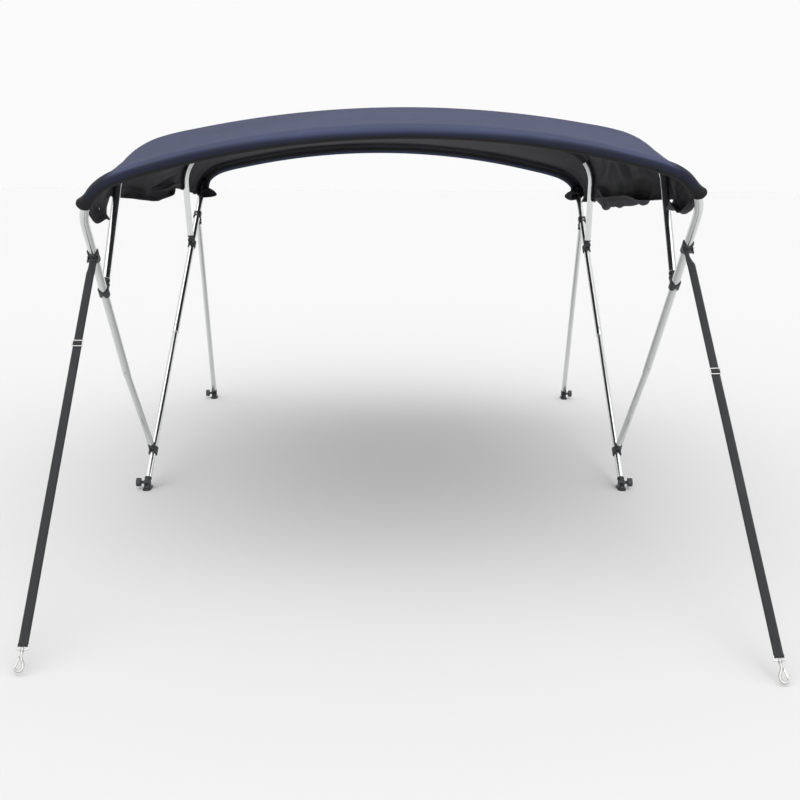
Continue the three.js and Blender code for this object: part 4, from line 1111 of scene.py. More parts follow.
def fold_depth(sheet, depth):
    """How far each point of the cloth stands off its smooth shape, in millimetres."""
    p, q = np.meshgrid(sheet.across, sheet.along, indexing="ij")
    far = abs(p)
    side = np.sign(p)
    free = np.sin(math.pi * (np.clip(q, 0, 3) % 1)) ** 0.6 * (q > 0) * (q < 3)
    hang = smooth((far - 1.15) / 1.3)
    wave = 0
    for high, turns, by_side, by_far in WAVES:
        wave = wave + high * np.sin(turns * q + by_side * side + by_far * far)
    off = wave * hang * free * np.where(side > 0, 1.0, 0.8)
    for crease in CREASES:
        a = np.array([crease["across_0"], crease["along_0"]])
        b = np.array([crease["across_1"], crease["along_1"]])
        run = b - a
        f = np.clip(((far - a[0]) * run[0] + (q - a[1]) * run[1]) / (run @ run), 0, 1)
        gap = np.hypot((far - a[0] - f * run[0]) * 0.35, q - a[1] - f * run[1])
        taper = np.sin(math.pi * np.clip(f * 0.9 + 0.08, 0, 1))
        ridge = crease["depth"] * np.exp(-(gap / crease["width"]) ** 2)
        off += ridge * taper * free * (side == crease["side"])
    broad = 1.2 * np.sin(5.1 * p + 2.2 * q) * np.sin(3.3 * q + 0.7) + 0.8 * np.sin(9.0 * p - 4.0 * q)
    off += broad * free * smooth(1.6 - far)
    return off * depth


def lengths(grid, axis):
    """The way along a grid of points, from its start, at each point."""
    step = np.linalg.norm(np.diff(grid, axis=axis), axis=-1)
    start = np.zeros_like(step[:1] if axis == 0 else step[:, :1])
    return np.concatenate([start, np.cumsum(step, axis=axis)], axis=axis)


def shell_faces(rows, cols):
    """Faces of a sheet of two layers: the outer quads, the inner ones, and those round the border."""
    index = np.arange(rows * cols).reshape(rows, cols)
    shift = rows * cols
    quads = np.stack([index[:-1, :-1], index[1:, :-1], index[1:, 1:], index[:-1, 1:]], -1).reshape(-1, 4)
    border = [*index[0], *index[1:, -1], *index[-1, -2::-1], *index[-2:0:-1, 0]]
    rim = [(a, b, b + shift, a + shift) for a, b in zip(border, border[1:] + border[:1])]
    faces = [*quads, *(quads[:, ::-1] + shift), *rim]
    return [tuple(map(int, face)) for face in faces], len(quads), len(rim)


def dusk_of(sheet):
    """How much shade is painted into the cloth in the turn under the front sleeve and at its two ends."""
    p, q = np.meshgrid(sheet.across, sheet.along, indexing="ij")
    turn = smooth((-q - DUSK["from"] + DUSK["sooner"] * smooth(abs(p))) / DUSK["over"])
    corner = smooth((abs(p) - DUSK["corner"]) / DUSK["corner_over"])
    corner *= smooth((DUSK["behind"] - q) / DUSK["behind_over"])
    return np.maximum(turn * DUSK["most"], corner)


def facing_of(sheet):
    """Which quads of the outer face take the dark lining finish as painted shade."""
    along = (sheet.along[:-1] + sheet.along[1:]) / 2
    across = abs(sheet.across[:-1] + sheet.across[1:]) / 2
    under = (along < -SHADE_PAINTED_FROM["front"]) | (along > 3 + SHADE_PAINTED_FROM["main"])
    return (under[None, :] | (across > SHADE_PAINTED_FROM["hem"])[:, None]).ravel()


def build_canopy(depth):
    """The canopy as one continuous sheet, outer and inner face, with its folds, hem and seams."""
    sheet = Sheet()
    grid = sheet.base
    off = fold_depth(sheet, depth)
    across, along = lengths(grid, 0), lengths(grid, 1)
    gaps = {"hem": np.minimum(across, across[-1:] - across)}
    for seam, bow in (("fore", "front"), ("aft", "main"), ("second", "second"), ("third", "third")):
        gaps[seam] = (along - along[:, [sheet.ridge[bow]]]) * (-1 if seam == "aft" else 1)
    lift = SEAM["lift"] * smooth((SEAM["hem"] - gaps["hem"]) / SEAM["hem_fade"])
    for seam in ("fore", "aft"):
        band = smooth((SEAM["far"] - gaps[seam]) / SEAM["far_fade"])
        band = band * smooth((gaps[seam] - SEAM["near"]) / SEAM["near_fade"])
        lift = np.maximum(lift, SEAM["lift"] * band)
    outer = grid + normals(grid) * (off + lift)[..., None]
    n = normals(outer)
    if n[:, :, 2].mean() < 0:
        n = -n
    inner = outer - n * (CLOTH["thickness"] + lift * 0.6)[..., None]
    sheet.outer, sheet.inner, sheet.normal = outer, inner, n
    faces, quads, rim = shell_faces(*outer.shape[:2])
    points = np.concatenate([outer.reshape(-1, 3), inner.reshape(-1, 3)])
    mesh = mesh_from("canopy_cloth", metres(points), faces)
    outward(mesh)

    def both(values):
        return np.concatenate([values.ravel(), values.ravel()])
    set_uv(mesh, np.stack([both(across), both(along)], 1) / 1000)
    for seam, gap in gaps.items():
        set_attribute(mesh, seam, both(gap) / 1000)
    # The crest attribute: high on the outer face's fold crests and low in its troughs, for the finish's painted
    # highlight and shade
    bend = np.gradient(np.gradient(off, axis=1), axis=1) + np.gradient(np.gradient(off, axis=0), axis=0)
    bend = bend.ravel() * 0.3
    set_attribute(mesh, "crest", np.clip(NO_FOLD + np.concatenate([-bend, bend]), 0, 1))
    set_attribute(mesh, "dusk", both(dusk_of(sheet)))
    smooth_shade(mesh, 80)
    # Inner face and rim take the lining finish, and so do the outer quads of painted shade
    lining = np.concatenate([facing_of(sheet), np.ones(quads + rim, bool)])
    mesh.polygons.foreach_set("material_index", lining.astype(int))
    return sheet, mesh


def there_and_back(count):
    """The way across a strip's outer face and back over its inner one, from 0 to 1 to 0."""
    return np.concatenate([np.linspace(0, 1, count), np.linspace(1, 0, count)])


def strip_mesh(name, rings, run, width, seams):
    """A sewn strip through rings that go there and back across it, `run` the way along it at each ring."""
    across = np.tile(there_and_back(rings.shape[1] // 2), len(rings))
    mesh = closed_rings(name, rings, np.stack([np.repeat(run, rings.shape[1]), across * width], 1))
    for seam in (*STITCH_ROWS, "crest"):
        gap = np.full(len(across), NO_FOLD if seam == "crest" else NO_SEAM)
        set_attribute(mesh, seam, seams[seam](across) if seam in seams else gap)
    smooth_shade(mesh, 60)
    return mesh


def build_pocket(sheet, name):
    """A sewn strip round a bow under the canopy, from one corner to the other."""
    index = list(BOWS).index(name)
    reach = 1 + POCKET_ENDS[name] / CORNER_STEPS
    middle = sheet.ridge[name]
    ahead, behind = (sheet.column(index + seam) for seam in POCKET_SEAMS[name])
    rings = []
    for row in np.flatnonzero(abs(sheet.across) <= reach + 1e-6):
        p = sheet.across[row]
        point, _, fore = bow_station(index, (-1 if p < 0 else 1, abs(p), None))
        up = sheet.normal[row, middle]
        side = unit(fore - up * (fore @ up))
        loose = max(0, sum(high * math.sin(turns * p + shift) for high, turns, shift in POCKET_LOOSE))

        def face(extra):
            radius = TUBE_RADIUS + POCKET_STRIP["clear"] + extra + loose
            turns = np.radians(POCKET_STRIP["turn"] * np.linspace(-1, 1, POCKET_STEPS))
            line = [point - up * radius * math.cos(a) - side * radius * math.sin(a) for a in turns]
            sewn = [sheet.inner[row, col] - sheet.normal[row, col] * (GAP + extra) for col in (ahead, behind)]
            return [sewn[0], *line, sewn[1]]
        rings.append(face(POCKET_STRIP["thickness"]) + face(0)[::-1])
    rings = metres(np.array(rings))
    seams = {"fore": lambda across: np.minimum(across, 1 - across) * POCKET_WIDTH + POCKET_EDGE}
    return strip_mesh(f"pocket_{name}", rings, lengths(rings, 0).mean(1), POCKET_WIDTH, seams)


def build_closing(sheet, name):
    """The strip of lining that closes a sleeve, from its free edge up to the underside of the canopy."""
    end, place = {"front": (0, CLOSING["reach"]), "main": (-1, 3 - CLOSING["reach"])}[name]
    seam, steps = sheet.column(place), CLOSING["steps"]
    rows = np.flatnonzero(abs(sheet.across) <= CLOSING["across"])
    free = ((sheet.outer + sheet.inner) / 2)[rows, end]
    high = sheet.inner[rows, seam] - sheet.normal[rows, seam] * (GAP + CLOSING["thickness"] / 2)
    part = np.linspace(0, 1, steps)
    line = np.stack([mix(free, high, f) for f in part], 1)
    n = np.cross(np.gradient(line, axis=0), np.gradient(line, axis=1))
    n /= np.linalg.norm(n, axis=-1, keepdims=True)
    down = np.where(n[..., 2:] > 0, -1.0, 1.0) * n
    wave = 1 + 0.3 * np.sin(23 * sheet.across[rows])
    line = line + down * CLOSING["sag"] * np.sin(math.pi * part)[None, :, None] * wave[:, None, None]
    half = n * CLOSING["thickness"] / 2
    rings = metres(np.concatenate([line + half, (line - half)[:, ::-1]], 1))
    width = float(lengths(line, 1)[:, -1].mean()) / 1000
    length = float(lengths(line, 0)[-1].mean()) / 1000
    mesh = strip_mesh(f"closing_{name}", rings, lengths(line, 0).mean(1) / 1000, width, {})
    return mesh, (round(width, 3), round(length, 3))


# Tubes and fittings

# Points of a bow's axis: how many on its arch and in its corner, and where along its leg
PATH = {"arch": 16, "corner": 14, "leg": (0.02, 0.3, 0.6, 0.98)}
TUCKED = 5
# Half outlines of turned bodies, as radius and height
BUTTON = ((0, 0), (4.6, 0), (4.6, 0.35), (3.6, 0.5), (3.5, 1.6), (2.6, 2.6), (1.3, 3.1), (0, 3.2))
STUD = ((0, -1.2), (4.4, -1.2), (4.8, -0.7), (4.8, 0.3), (4.3, 1.1), (3.6, 1.2), (3, 0.8), (2.4, -0.2),
        (0, -0.4))
BOLT = {"radius": 5.4, "heights": (0, 1.2, 2.4, 2.9, 1.4)}
HINGE_BOSS = ((0, 0), (14.4, 0), (13.2, 2.4), (10.5, 6), (0, 6))
COUNTERSINK = {"depth": 2.2, "radius": 6.2}


def bow_path(name, ends):
    """The axis of a bow from its left end over the crown to its right end."""
    bow = BOWS[name]

    def half(side, end):
        path = [bow_point(bow, side, i / PATH["arch"]) for i in range(1, PATH["arch"] + 1)]
        path += [bow_point(bow, side, 1 + i / PATH["corner"]) for i in range(1, PATH["corner"] + 1)]
        return path + [mix(path[-1], end, f) for f in PATH["leg"]] + [end]
    return half(-1, ends["left"])[::-1] + [bow_point(bow, 1, 0)] + half(1, ends["right"])


def tube_paths():
    """The tubes' axes by node name, with their radius; lower legs run up inside their bows."""
    split = {"front": HEIGHT["front_joint"], "main": HEIGHT["main_joint"]}
    paths = {}
    for name, bow in BOWS.items():
        ends = {}
        for word, side in SIDES.items():
            pin, high = PINS[word][name], bow_point(bow, side, 2)
            if name not in split:
                ends[word] = towards(pin, high, TUBE_START)
                continue
            joint = bow_point(bow, side, 2, split[name])
            ends[word] = joint
            start = towards(pin, joint, TUBE_START)
            inside = towards(joint, high, TUCKED)
            paths[f"leg_{name}_{word}"] = ([start, mix(start, inside, 0.5), inside], LEG_RADIUS)
        paths[f"bow_{name}"] = (bow_path(name, ends), TUBE_RADIUS)
    for word in SIDES:
        pole, rear = PINS[word]["pole"], PINS[word]["rear"]
        start, end = towards(rear, pole, TUBE_START), towards(pole, rear, TUBE_START)
        paths[f"pole_{word}"] = ([start, mix(start, end, 0.5), end], LEG_RADIUS)
    return paths


def turned_piece(name, profile, sides, angle):
    mesh = mesh_of(name, spin(profile, sides))
    smooth_shade(mesh, angle)
    return mesh


def eye_end():
    """Eye end of a tube: a flat tongue with a bore, and the cap that sits on the tube."""
    radius, low = TONGUE["radius"], CAP["start"]
    high, r = low + CAP["length"], CAP["radius"]
    outline = arc(radius, 180, 360, 17) + [(radius, low + 2), (-radius, low + 2)]
    tongue = rotated(prism(outline, -TONGUE["thickness"] / 2, TONGUE["thickness"] / 2), STANDING)
    cap = spin([(0, low - 3), (radius * 0.9, low - 3), (r - 0.6, low), (r, low + 1), (r, high - 0.8),
                (r - 0.8, high), (0, high)], 40)
    web = shifted(rod("y", 5.2, -radius + 1, radius - 1, 20), z=low - 3)
    return shaped([tongue, cap, web], [rod("x", PIN_RADIUS + 0.5, -20, 20, 24)], 0.6)


def sleeve_body(sizes):
    """The ring of a slide round its tube, and what is cut from it: a saddle at each end and the bore."""
    radius, half = SLIDE["radius"], sizes["height"] / 2
    scoop = radius * 0.86
    edge, waist = radius - 0.6, radius - 0.5
    body = spin([(0, -half), (edge, -half), (radius, -half + 2), (waist, 0), (radius, half - 2), (edge, half),
                 (0, half)], 48)
    saddles = [shifted(rod("y", scoop, -2 * radius, 2 * radius, 32), z=end * (half + scoop - sizes["saddle"]))
               for end in (-1, 1)]
    return body, [*saddles, rod("z", TUBE_RADIUS + 0.3, -2 * half, 2 * half, 48)]


def bolt_head(offset):
    """Domed head with its socket, of the bolt that holds an eye in a slide."""
    foot, side, dome, rim, well = BOLT["heights"]
    radius = BOLT["radius"]
    head = spin([(0, foot), (radius, foot), (radius, side), (radius - 0.8, dome), (radius * 0.45, rim),
                 (radius * 0.42, well), (0, well)], 24)
    return shifted(rotated(head, quarter("Y", 1 if offset > 0 else -1)), x=offset)


def jaw_slide():
    """Slide with two cheeks that hold an eye end between them on a bolt."""
    body, cuts = sleeve_body(SLIDE)
    root = TUBE_RADIUS + 1
    offset = (FORK_GAP + LUG["thickness"]) / 2
    reach = SLIDE["reach"] - root
    cheeks = [lug(reach, TONGUE["radius"], LUG["thickness"], side * offset) for side in (-1, 1)]
    lugs = [shifted(turned_to(one, "y"), y=root) for one in cheeks]
    outer = offset + LUG["thickness"] / 2
    pin = shifted(rod("x", PIN_RADIUS, -outer - 1, outer + 1, 24), y=SLIDE["reach"])
    heads = [shifted(bolt_head(side * (outer - 0.4)), y=SLIDE["reach"]) for side in (-1, 1)]
    return shaped([body, *lugs, pin, *heads], cuts, 0.7)


def strap_slide():
    """Slide with two arms and a bar between them, which the strap's loop goes round."""
    body, cuts = sleeve_body(STRAP_SLIDE)
    arms = [lug(STRAP["eye"] - TUBE_RADIUS, 4.2, 3, side * (STRAP["width"] / 2 + 2.4)) for side in (-1, 1)]
    arms = [shifted(turned_to(one, "y"), y=TUBE_RADIUS) for one in arms]
    half = STRAP["width"] / 2 + 3.9
    shoulder = prism([(-half, -3), (half, -3), (half, 3), (-half, 3)], -7, 7)
    shifted(shoulder, y=TUBE_RADIUS - 2)
    bar = shifted(rod("x", STRAP["bar"], -STRAP["width"] / 2 - 3, STRAP["width"] / 2 + 3, 20), y=STRAP["eye"])
    return shaped([body, shoulder, *arms, bar], cuts, 0.6)


def deck_hinge():
    """Deck hinge: a long base with two countersunk holes, and two cheeks for an eye end."""
    width, thick = HINGE_BASE["width"], HINGE_BASE["thickness"]
    straight = (HINGE_BASE["length"] - width) / 2
    ends = [(x, y + straight) for x, y in arc(width / 2, 0, 180, 21)]
    ends += [(x, y - straight) for x, y in arc(width / 2, 180, 360, 21)]
    base = prism(ends, 0, thick)
    offset = (FORK_GAP + LUG["thickness"]) / 2
    outer = offset + LUG["thickness"] / 2
    lugs = [lug(PIVOT_HEIGHT, LUG["radius"], LUG["thickness"], side * offset) for side in (-1, 1)]
    web_height = PIVOT_HEIGHT - TONGUE["radius"] - 1
    web = prism([(-outer, -10), (outer, -10), (outer, 10), (-outer, 10)], 0, web_height)
    foot = shifted(spin(HINGE_BOSS, 32), z=thick - 1)
    cuts = [shifted(rod("x", PIN_RADIUS + GAP, -30, 30, 28), z=PIVOT_HEIGHT)]
    low, wide = thick - COUNTERSINK["depth"], COUNTERSINK["radius"]
    for end in (-1, 1):
        y = end * HINGE_BASE["spacing"] / 2
        cuts.append(shifted(rod("z", HINGE_BASE["hole"], -1, 20, 24), y=y))
        sink = spin([(0, low), (HINGE_BASE["hole"], low), (wide, thick + 0.6), (wide, 30), (0, 30)], 28)
        cuts.append(shifted(sink, y=y))
    return shaped([base, web, foot, *lugs], cuts, 0.7)


def thumb_screw():
    """Thumb screw with a lobed head, which holds an eye end in a deck hinge."""
    start = FORK_GAP / 2 + LUG["thickness"] + GAP
    end = start + KNOB["neck_length"]
    r = KNOB["neck"]
    outline = []
    for a in np.linspace(0, 2 * math.pi, 97)[:-1]:
        radius = KNOB["head"] * (0.945 + 0.055 * math.cos(KNOB["lobes"] * a))
        outline.append((radius * math.cos(a), radius * math.sin(a)))
    head = shifted(turned_to(prism(outline, 0, KNOB["thickness"]), "x"), x=end)
    hollow = turned_to(spin([(0, 0), (9, 0), (10, 3), (0, 3)], 32), "x")
    shank = rod("x", PIN_RADIUS, -start + GAP, start + 1, 28, 0.4)
    neck = spin([(0, start), (r - 0.4, start), (r, start + 0.6), (r - 1, end - 4), (r + 2, end + 0.5),
                 (0, end + 1)], 32)
    hollow = shifted(hollow, x=end + KNOB["thickness"] - 1.6)
    return shaped([shank, turned_to(neck, "x"), head], [hollow], 0.9)


# Straps and their hooks

LAYER = (STRAP["thickness"] + STRAP["layer_gap"]) / 2
OVER_GLIDE = LAYER + STRAP["thickness"] / 2 + GAP + GLIDE["thickness"]
# Places on a strap's line, in millimetres: where its layers close after the bar and open before the hook,
# where it starts to run straight, how near to the glide and the hook it does, and where its tail ends
LINE = {"closed": 12, "open": 8, "straight": 24, "near": 20, "tail": 30, "end": 4}
# Where a strap is sewn to itself, in millimetres: from the bar, round a place below the glide, from the hook
SEWN = {"bar": 4, "glide": 26, "half": 14, "hook": 34, "loop": 4}
# How the strap is bunched under its slide: until and over how many millimetres, its narrowing and its ripple
BUNCH = {"until": 46, "over": 28, "narrow": 0.45, "ripple": 2.2, "pitch": 0.75}
HOOK_LINE = ((0, 15), (0, 28), (2.5, 36), (7, 44), (9, 53), (6.5, 61), (0, 65), (-6.5, 62.5), (-9.5, 57))
HOOK_TAPER = ((0, 0.2, 0.8, 0.94, 1), (1.0, 1.0, 0.96, 0.88, 0.55))
GATE_OUTLINE = ((-3.9, 28), (-7.2, 27), (-9.6, 34), (-11.5, 40), (-14.6, 42.6), (-17, 45), (-17.2, 47.2),
                (-16, 48.5), (-12.4, 48.5), (-11.2, 54.4), (-7.8, 54.6), (-6.2, 47), (-3.9, 37))
# The webbing is this many times as long as the strap's run, because its tail comes back up to the glide
WEBBING_SHARE = 1.78


def strap_line(length, glide_at):
    """The line of a strap's middle: [along, off] from its bar to the snap hook's loop and back."""
    top_wrap = STRAP["bar"] + GAP + STRAP["thickness"] / 2
    end_wrap = LOOP["wire"] * 0.71 + GAP + STRAP["thickness"] / 2
    over = OVER_GLIDE + GAP + STRAP["thickness"] / 2
    slot = GLIDE["slot"] / 2 + GLIDE["bar"] / 2
    climb = GLIDE["slot"] * 0.36

    def round_bar(centre, radius, start, end):
        return [(centre + x, y) for x, y in arc(radius, start, end, 13)]

    def straight(start, end, off):
        return [(a, off) for a in np.linspace(start, end, 40)]
    closed, near, opened = LINE["closed"], LINE["near"], length - LINE["open"]
    line = [(STRAP["fold_back"], -LAYER), (closed, -LAYER), *round_bar(0, top_wrap, 260, 100)]
    line += [(closed, LAYER), *straight(LINE["straight"], glide_at - near, LAYER)]
    line += [(glide_at - slot - climb, LAYER), (glide_at - slot + climb, over),
             (glide_at + slot - climb, over), (glide_at + slot + climb, LAYER)]
    line += straight(glide_at + near, length - near, LAYER)
    line += [(opened, LAYER), *round_bar(length, end_wrap, 80, -80), (opened, -LAYER)]
    line += straight(length - near, glide_at + LINE["tail"], -LAYER)
    return line + [(glide_at - GLIDE["height"] / 2 - LINE["end"], -LAYER)]


def strap_section():
    """Half a strap's outline over its face and half back under it, as (way across, height)."""
    half, thick = STRAP["width"] / 2, STRAP["thickness"] / 2
    face = (-half + 0.5, -half * 0.5, 0, half * 0.5, half - 0.5)
    return [(-half, 0), *((w, thick) for w in face), (half, 0), *((w, -thick) for w in face[::-1])]


def build_strap(word, twist):
    """A strap with its loop and tail; also its place, where its glide sits, and its length."""
    side = SIDES[word]
    bar = moved(strap_slide_place(word), [0, STRAP["eye"], 0])
    run = STRAP_END[word] - bar
    length = float(np.linalg.norm(run))
    glide_at = length * GLIDE_AT[word]
    place = frame_at(bar, run)
    points = np.array(strap_line(length, glide_at))
    tangent = np.gradient(points, axis=0)
    tangent /= np.linalg.norm(tangent, axis=1, keepdims=True)
    section, half = strap_section(), STRAP["width"] / 2
    rings = []
    for (a, off), (ta, to) in zip(points, tangent):
        bunch = twist * smooth((BUNCH["until"] - a) / BUNCH["over"])
        pinch = 1 - BUNCH["narrow"] * bunch
        ripple = bunch * BUNCH["ripple"] * smooth((a - 14) / 12)
        wave = 0.5 * math.sin(a * 0.011 + side) * smooth(min(a - 60, length - 60 - a) / 80)
        rings.append([(w * pinch - side * half * (1 - pinch),
                       off + t * ta + ripple * math.cos(w * BUNCH["pitch"]) + wave,
                       a - t * to) for w, t in section])
    along = np.concatenate([[0], np.cumsum(np.linalg.norm(np.diff(points, axis=0), axis=1))]) / 1000
    across = np.array([w / half for w, _ in section])
    uv = np.stack([np.tile(across * 0.5 + 0.5, len(rings)), np.repeat(along, len(section))], 1)
    mesh = closed_rings(f"strap_{word}", metres(moved(place, rings)), uv)
    set_attribute(mesh, "width", np.tile(across, len(rings)))
    a = points[:, 0]
    at_bar = (a > SEWN["bar"]) & (a < STRAP["fold_back"])
    at_glide = abs(a - glide_at - SEWN["glide"]) < SEWN["half"]
    at_hook = (a > length - SEWN["hook"]) & (a < length - SEWN["loop"])
    set_attribute(mesh, "sewn", np.repeat(at_bar | at_glide | at_hook, len(section)))
    smooth_shade(mesh, 60)
    return mesh, place, glide_at, length


def slot_plate(width, low, high, holes, thickness, corner):
    """A plate in the XZ plane with rounded corners and slots."""
    def rounded(w, a, b, r):
        x = w / 2 - r
        corners = ((x, b - r, 0), (-x, b - r, 90), (-x, a + r, 180), (x, a + r, 270))
        return [(cx + dx, cz + dz) for cx, cz, start in corners for dx, dz in arc(r, start, start + 90, 4)]

    def flat(outline, thick):
        return rotated(prism(outline, -thick / 2, thick / 2), quarter("X"))
    cuts = [flat(rounded(w, a, b, 1.2), thickness * 3) for w, a, b in holes]
    return flat(rounded(width, low, high, corner), thickness), cuts


def glide_plate():
    """Glide: a plate with two slots that the webbing weaves through."""
    near, half = GLIDE["bar"] / 2, GLIDE["height"] / 2
    far = near + GLIDE["slot"]
    holes = [(STRAP["width"] + 1.2, low, high) for low, high in ((-far, -near), (near, far))]
    body, cuts = slot_plate(GLIDE["width"], -half, half, holes, GLIDE["thickness"], 2.5)
    return shaped([body], cuts, 0.9)


def snap_loop():
    """Loop of a snap hook: a flat eye for the webbing and a boss that the hook turns in."""
    wire = LOOP["wire"]
    top = -wire / 2
    bottom = top + LOOP["height"]
    hole = (STRAP["width"] + 1, wire / 2, bottom - wire)
    body, cuts = slot_plate(LOOP["width"], top, bottom, [hole], wire, 3)
    boss = rod("z", LOOP["boss"], bottom - wire, bottom + 1, 28)
    return shaped([body, boss], cuts + [rod("z", LOOP["bore"], 4, bottom + 2, 24)], 0.8)


def snap_hook():
    """Hook on a post that turns in the loop's boss."""
    bottom = -LOOP["wire"] / 2 + LOOP["height"]
    seat = bottom + 1 + GAP
    under = bottom - LOOP["wire"] - GAP
    stud, head, collar = HOOK["stud"], HOOK["head"], HOOK["collar"]
    post = spin([(0, under - 2), (head - 0.6, under - 2), (head, under - 1.2), (head, under), (stud, under),
                 (stud, seat), (collar - 0.6, seat), (collar, seat + 0.8), (collar, seat + 2.6),
                 (collar - 1.2, seat + 3.6), (0, seat + 3.6)], 28)
    line = np.array([(x, 0, z) for x, z in HOOK_LINE], float)
    path = refine(line[:, None, :], [5] * (len(line) - 1))[:, 0]
    radius = np.interp(np.linspace(0, 1, len(path)), *HOOK_TAPER) * HOOK["wire"]
    wire = bmesh.new()
    wire.from_mesh(closed_rings("wire", sweep_rings(path, lambda i: circle(radius[i], 20))))
    return shaped([post, wire], (), 0)


def snap_gate():
    """Gate of a snap hook, with its thumb piece and rivet."""
    body = rotated(prism(GATE_OUTLINE, -2, 2), quarter("X"))
    rivet = shifted(rod("y", 1.9, -3.1, 3.1, 20, 0.6), x=-5.6, z=30.5)
    return shaped([body, rivet], (), 0.6)


# Settings in the sidebar

class BiminiSizes(bpy.types.PropertyGroup):
    """Sizes of the pieces that the frame leaves free"""
    fold_depth: bpy.props.FloatProperty(
        name="Fold depth", description="Depth of the hanging cloth's folds, as a share of their usual depth",
        default=1.0, min=0, max=2)
    strap_bunch: bpy.props.FloatProperty(
        name="Strap bunch", description="How far the right strap is bunched under its slide",
        default=1.0, min=0, max=1)
    floor_width: bpy.props.FloatProperty(
        name="Floor width", description="Width of the floor", default=60.0, unit="LENGTH")
    button_height: bpy.props.FloatProperty(
        name="Button height", description="How far a spring button sits above the end of its tube",
        default=0.022, unit="LENGTH")


def colour_of(name, description, default):
    return bpy.props.FloatVectorProperty(
        name=name, description=description, subtype="COLOR", default=default, min=0, max=1)


class BiminiColours(bpy.types.PropertyGroup):
    """Colours of the finishes"""
    cloth: colour_of("Cloth", "Outer face of the canopy", (0.056, 0.064, 0.118))
    lining: colour_of("Lining", "Coated inner face of the canopy", (0.037, 0.037, 0.042))
    webbing: colour_of("Webbing", "Straps", (0.020, 0.021, 0.024))
    tube: colour_of("Tube", "Anodised tubes", (0.74, 0.75, 0.75))
    nylon: colour_of("Nylon", "Black fittings", (0.014, 0.015, 0.017))
    steel: colour_of("Steel", "Glides, hooks and studs", (0.50, 0.50, 0.49))


SHARED = {}


def the_canopy():
    """The canopy's grid and mesh, which two operators need, made once."""
    if not SHARED:
        SHARED["sheet"], SHARED["mesh"] = build_canopy(bpy.context.scene.bimini_sizes.fold_depth)
    return SHARED["sheet"], SHARED["mesh"]


# Operators, one for each piece or group of like pieces

# The photograph's view, in metres, millimetres and degrees
CAMERA = {
    "place": (-0.0555, -3.938, 1.230), "yaw": -1.29, "pitch": -12.79, "roll": -0.4,
    "lens": 49.95, "sensor": 36, "sight": 300}
# Broad soft lamps: the place from which each points at the canopy, its strength and its width in degrees
LAMPS = (
    ("key", (-2.4, -3.4, 6.2), 1.8, 90),
    ("fill", (3.4, -3.6, 3.6), 1.45, 90),
    ("back", (0.4, 3.4, 5.8), 0.8, 100),
)
LIT_POINT = (0, 0, 0.8)
# The studio's brightness fades from the first strength to the second as one looks up from low to high
STUDIO = {"From Min": 0.16, "From Max": 0.55, "To Min": 0.965, "To Max": 0.5}


def make_camera(scene):
    camera = bpy.data.objects.new("camera", bpy.data.cameras.new("camera"))
    camera.data.lens = CAMERA["lens"]
    camera.data.sensor_width = CAMERA["sensor"]
    camera.data.clip_end = CAMERA["sight"]
    turn = Matrix.Identity(3)
    for key, axis in (("yaw", "Z"), ("pitch", "X"), ("roll", "Y")):
        turn = turn @ Matrix.Rotation(math.radians(CAMERA[key]), 3, axis)
    look = Matrix((turn.col[0], turn.col[2], -turn.col[1])).transposed()
    camera.matrix_world = Matrix.Translation(CAMERA["place"]) @ look.to_4x4()
    scene.collection.objects.link(camera)
    scene.camera = camera


def make_floor(scene):
    half = scene.bimini_sizes.floor_width / 2
    corners = [(-half, -half, 0), (half, -half, 0), (half, half, 0), (-half, half, 0)]
    floor = new_piece("floor", mesh_from("floor", corners, [(0, 1, 2, 3)]))
    floor.data.materials.append(finish("floor"))


def make_studio(scene):
    """White surroundings that are dimmer overhead, and the lamps."""
    world = bpy.data.worlds.new("studio")
    scene.world = world
    world.use_nodes = True
    nodes, links = world.node_tree.nodes, world.node_tree.links
    background = nodes["Background"]
    background.inputs["Color"].default_value = (1, 1, 1, 1)
    direction = nodes.new("ShaderNodeTexCoord")
    parts = nodes.new("ShaderNodeSeparateXYZ")
    fade = nodes.new("ShaderNodeMapRange")
    fade.interpolation_type = "SMOOTHSTEP"
    for socket, value in STUDIO.items():
        fade.inputs[socket].default_value = value
    links.new(direction.outputs["Generated"], parts.inputs[0])
    links.new(parts.outputs[2], fade.inputs["Value"])
    links.new(fade.outputs[0], background.inputs["Strength"])
    for name, place, power, width in LAMPS:
        lamp = bpy.data.objects.new(name, bpy.data.lights.new(name, "SUN"))
        lamp.data.energy, lamp.data.angle = power, math.radians(width)
        lamp.location = place
        lamp.rotation_euler = (Vector(LIT_POINT) - Vector(place)).to_track_quat("-Z", "Y").to_euler()
        scene.collection.objects.link(lamp)
    scene.view_settings.view_transform = "Standard"


class BIMINI_OT_stage(bpy.types.Operator):
    """Floor, soft studio light and the camera"""
    bl_idname = "bimini.stage"
    bl_label = "Stage"

    def execute(self, context):
        make_camera(context.scene)
        make_floor(context.scene)
        make_studio(context.scene)
        return {"FINISHED"}


class BIMINI_OT_tubes(bpy.types.Operator):
    """Bows, lower legs and rear struts as round tubes, with their spring buttons"""
    bl_idname = "bimini.tubes"
    bl_label = "Tubes"

    def execute(self, context):
        for node, (path, radius) in tube_paths().items():
            piece = new_piece(f"{node}_tube", round_tube(node, path, radius))
            dress(piece, "frame", "tube", node)
        height = context.scene.bimini_sizes.button_height * 1000
        button = turned_piece("button", BUTTON, 24, 50)
        for name in ("front", "main"):
            for word, side in SIDES.items():
                at = bow_point(BOWS[name], side, 2, HEIGHT[f"{name}_joint"] + height)
                along = along_leg(BOWS[name], side)
                out = unit(np.array([0, -1.0, 0]) + along * along[1])
                place = frame_at(at + out * (TUBE_RADIUS - 0.4), out)
                fit(f"button_{name}_{word}", button, place, "frame", "steel")
        return {"FINISHED"}


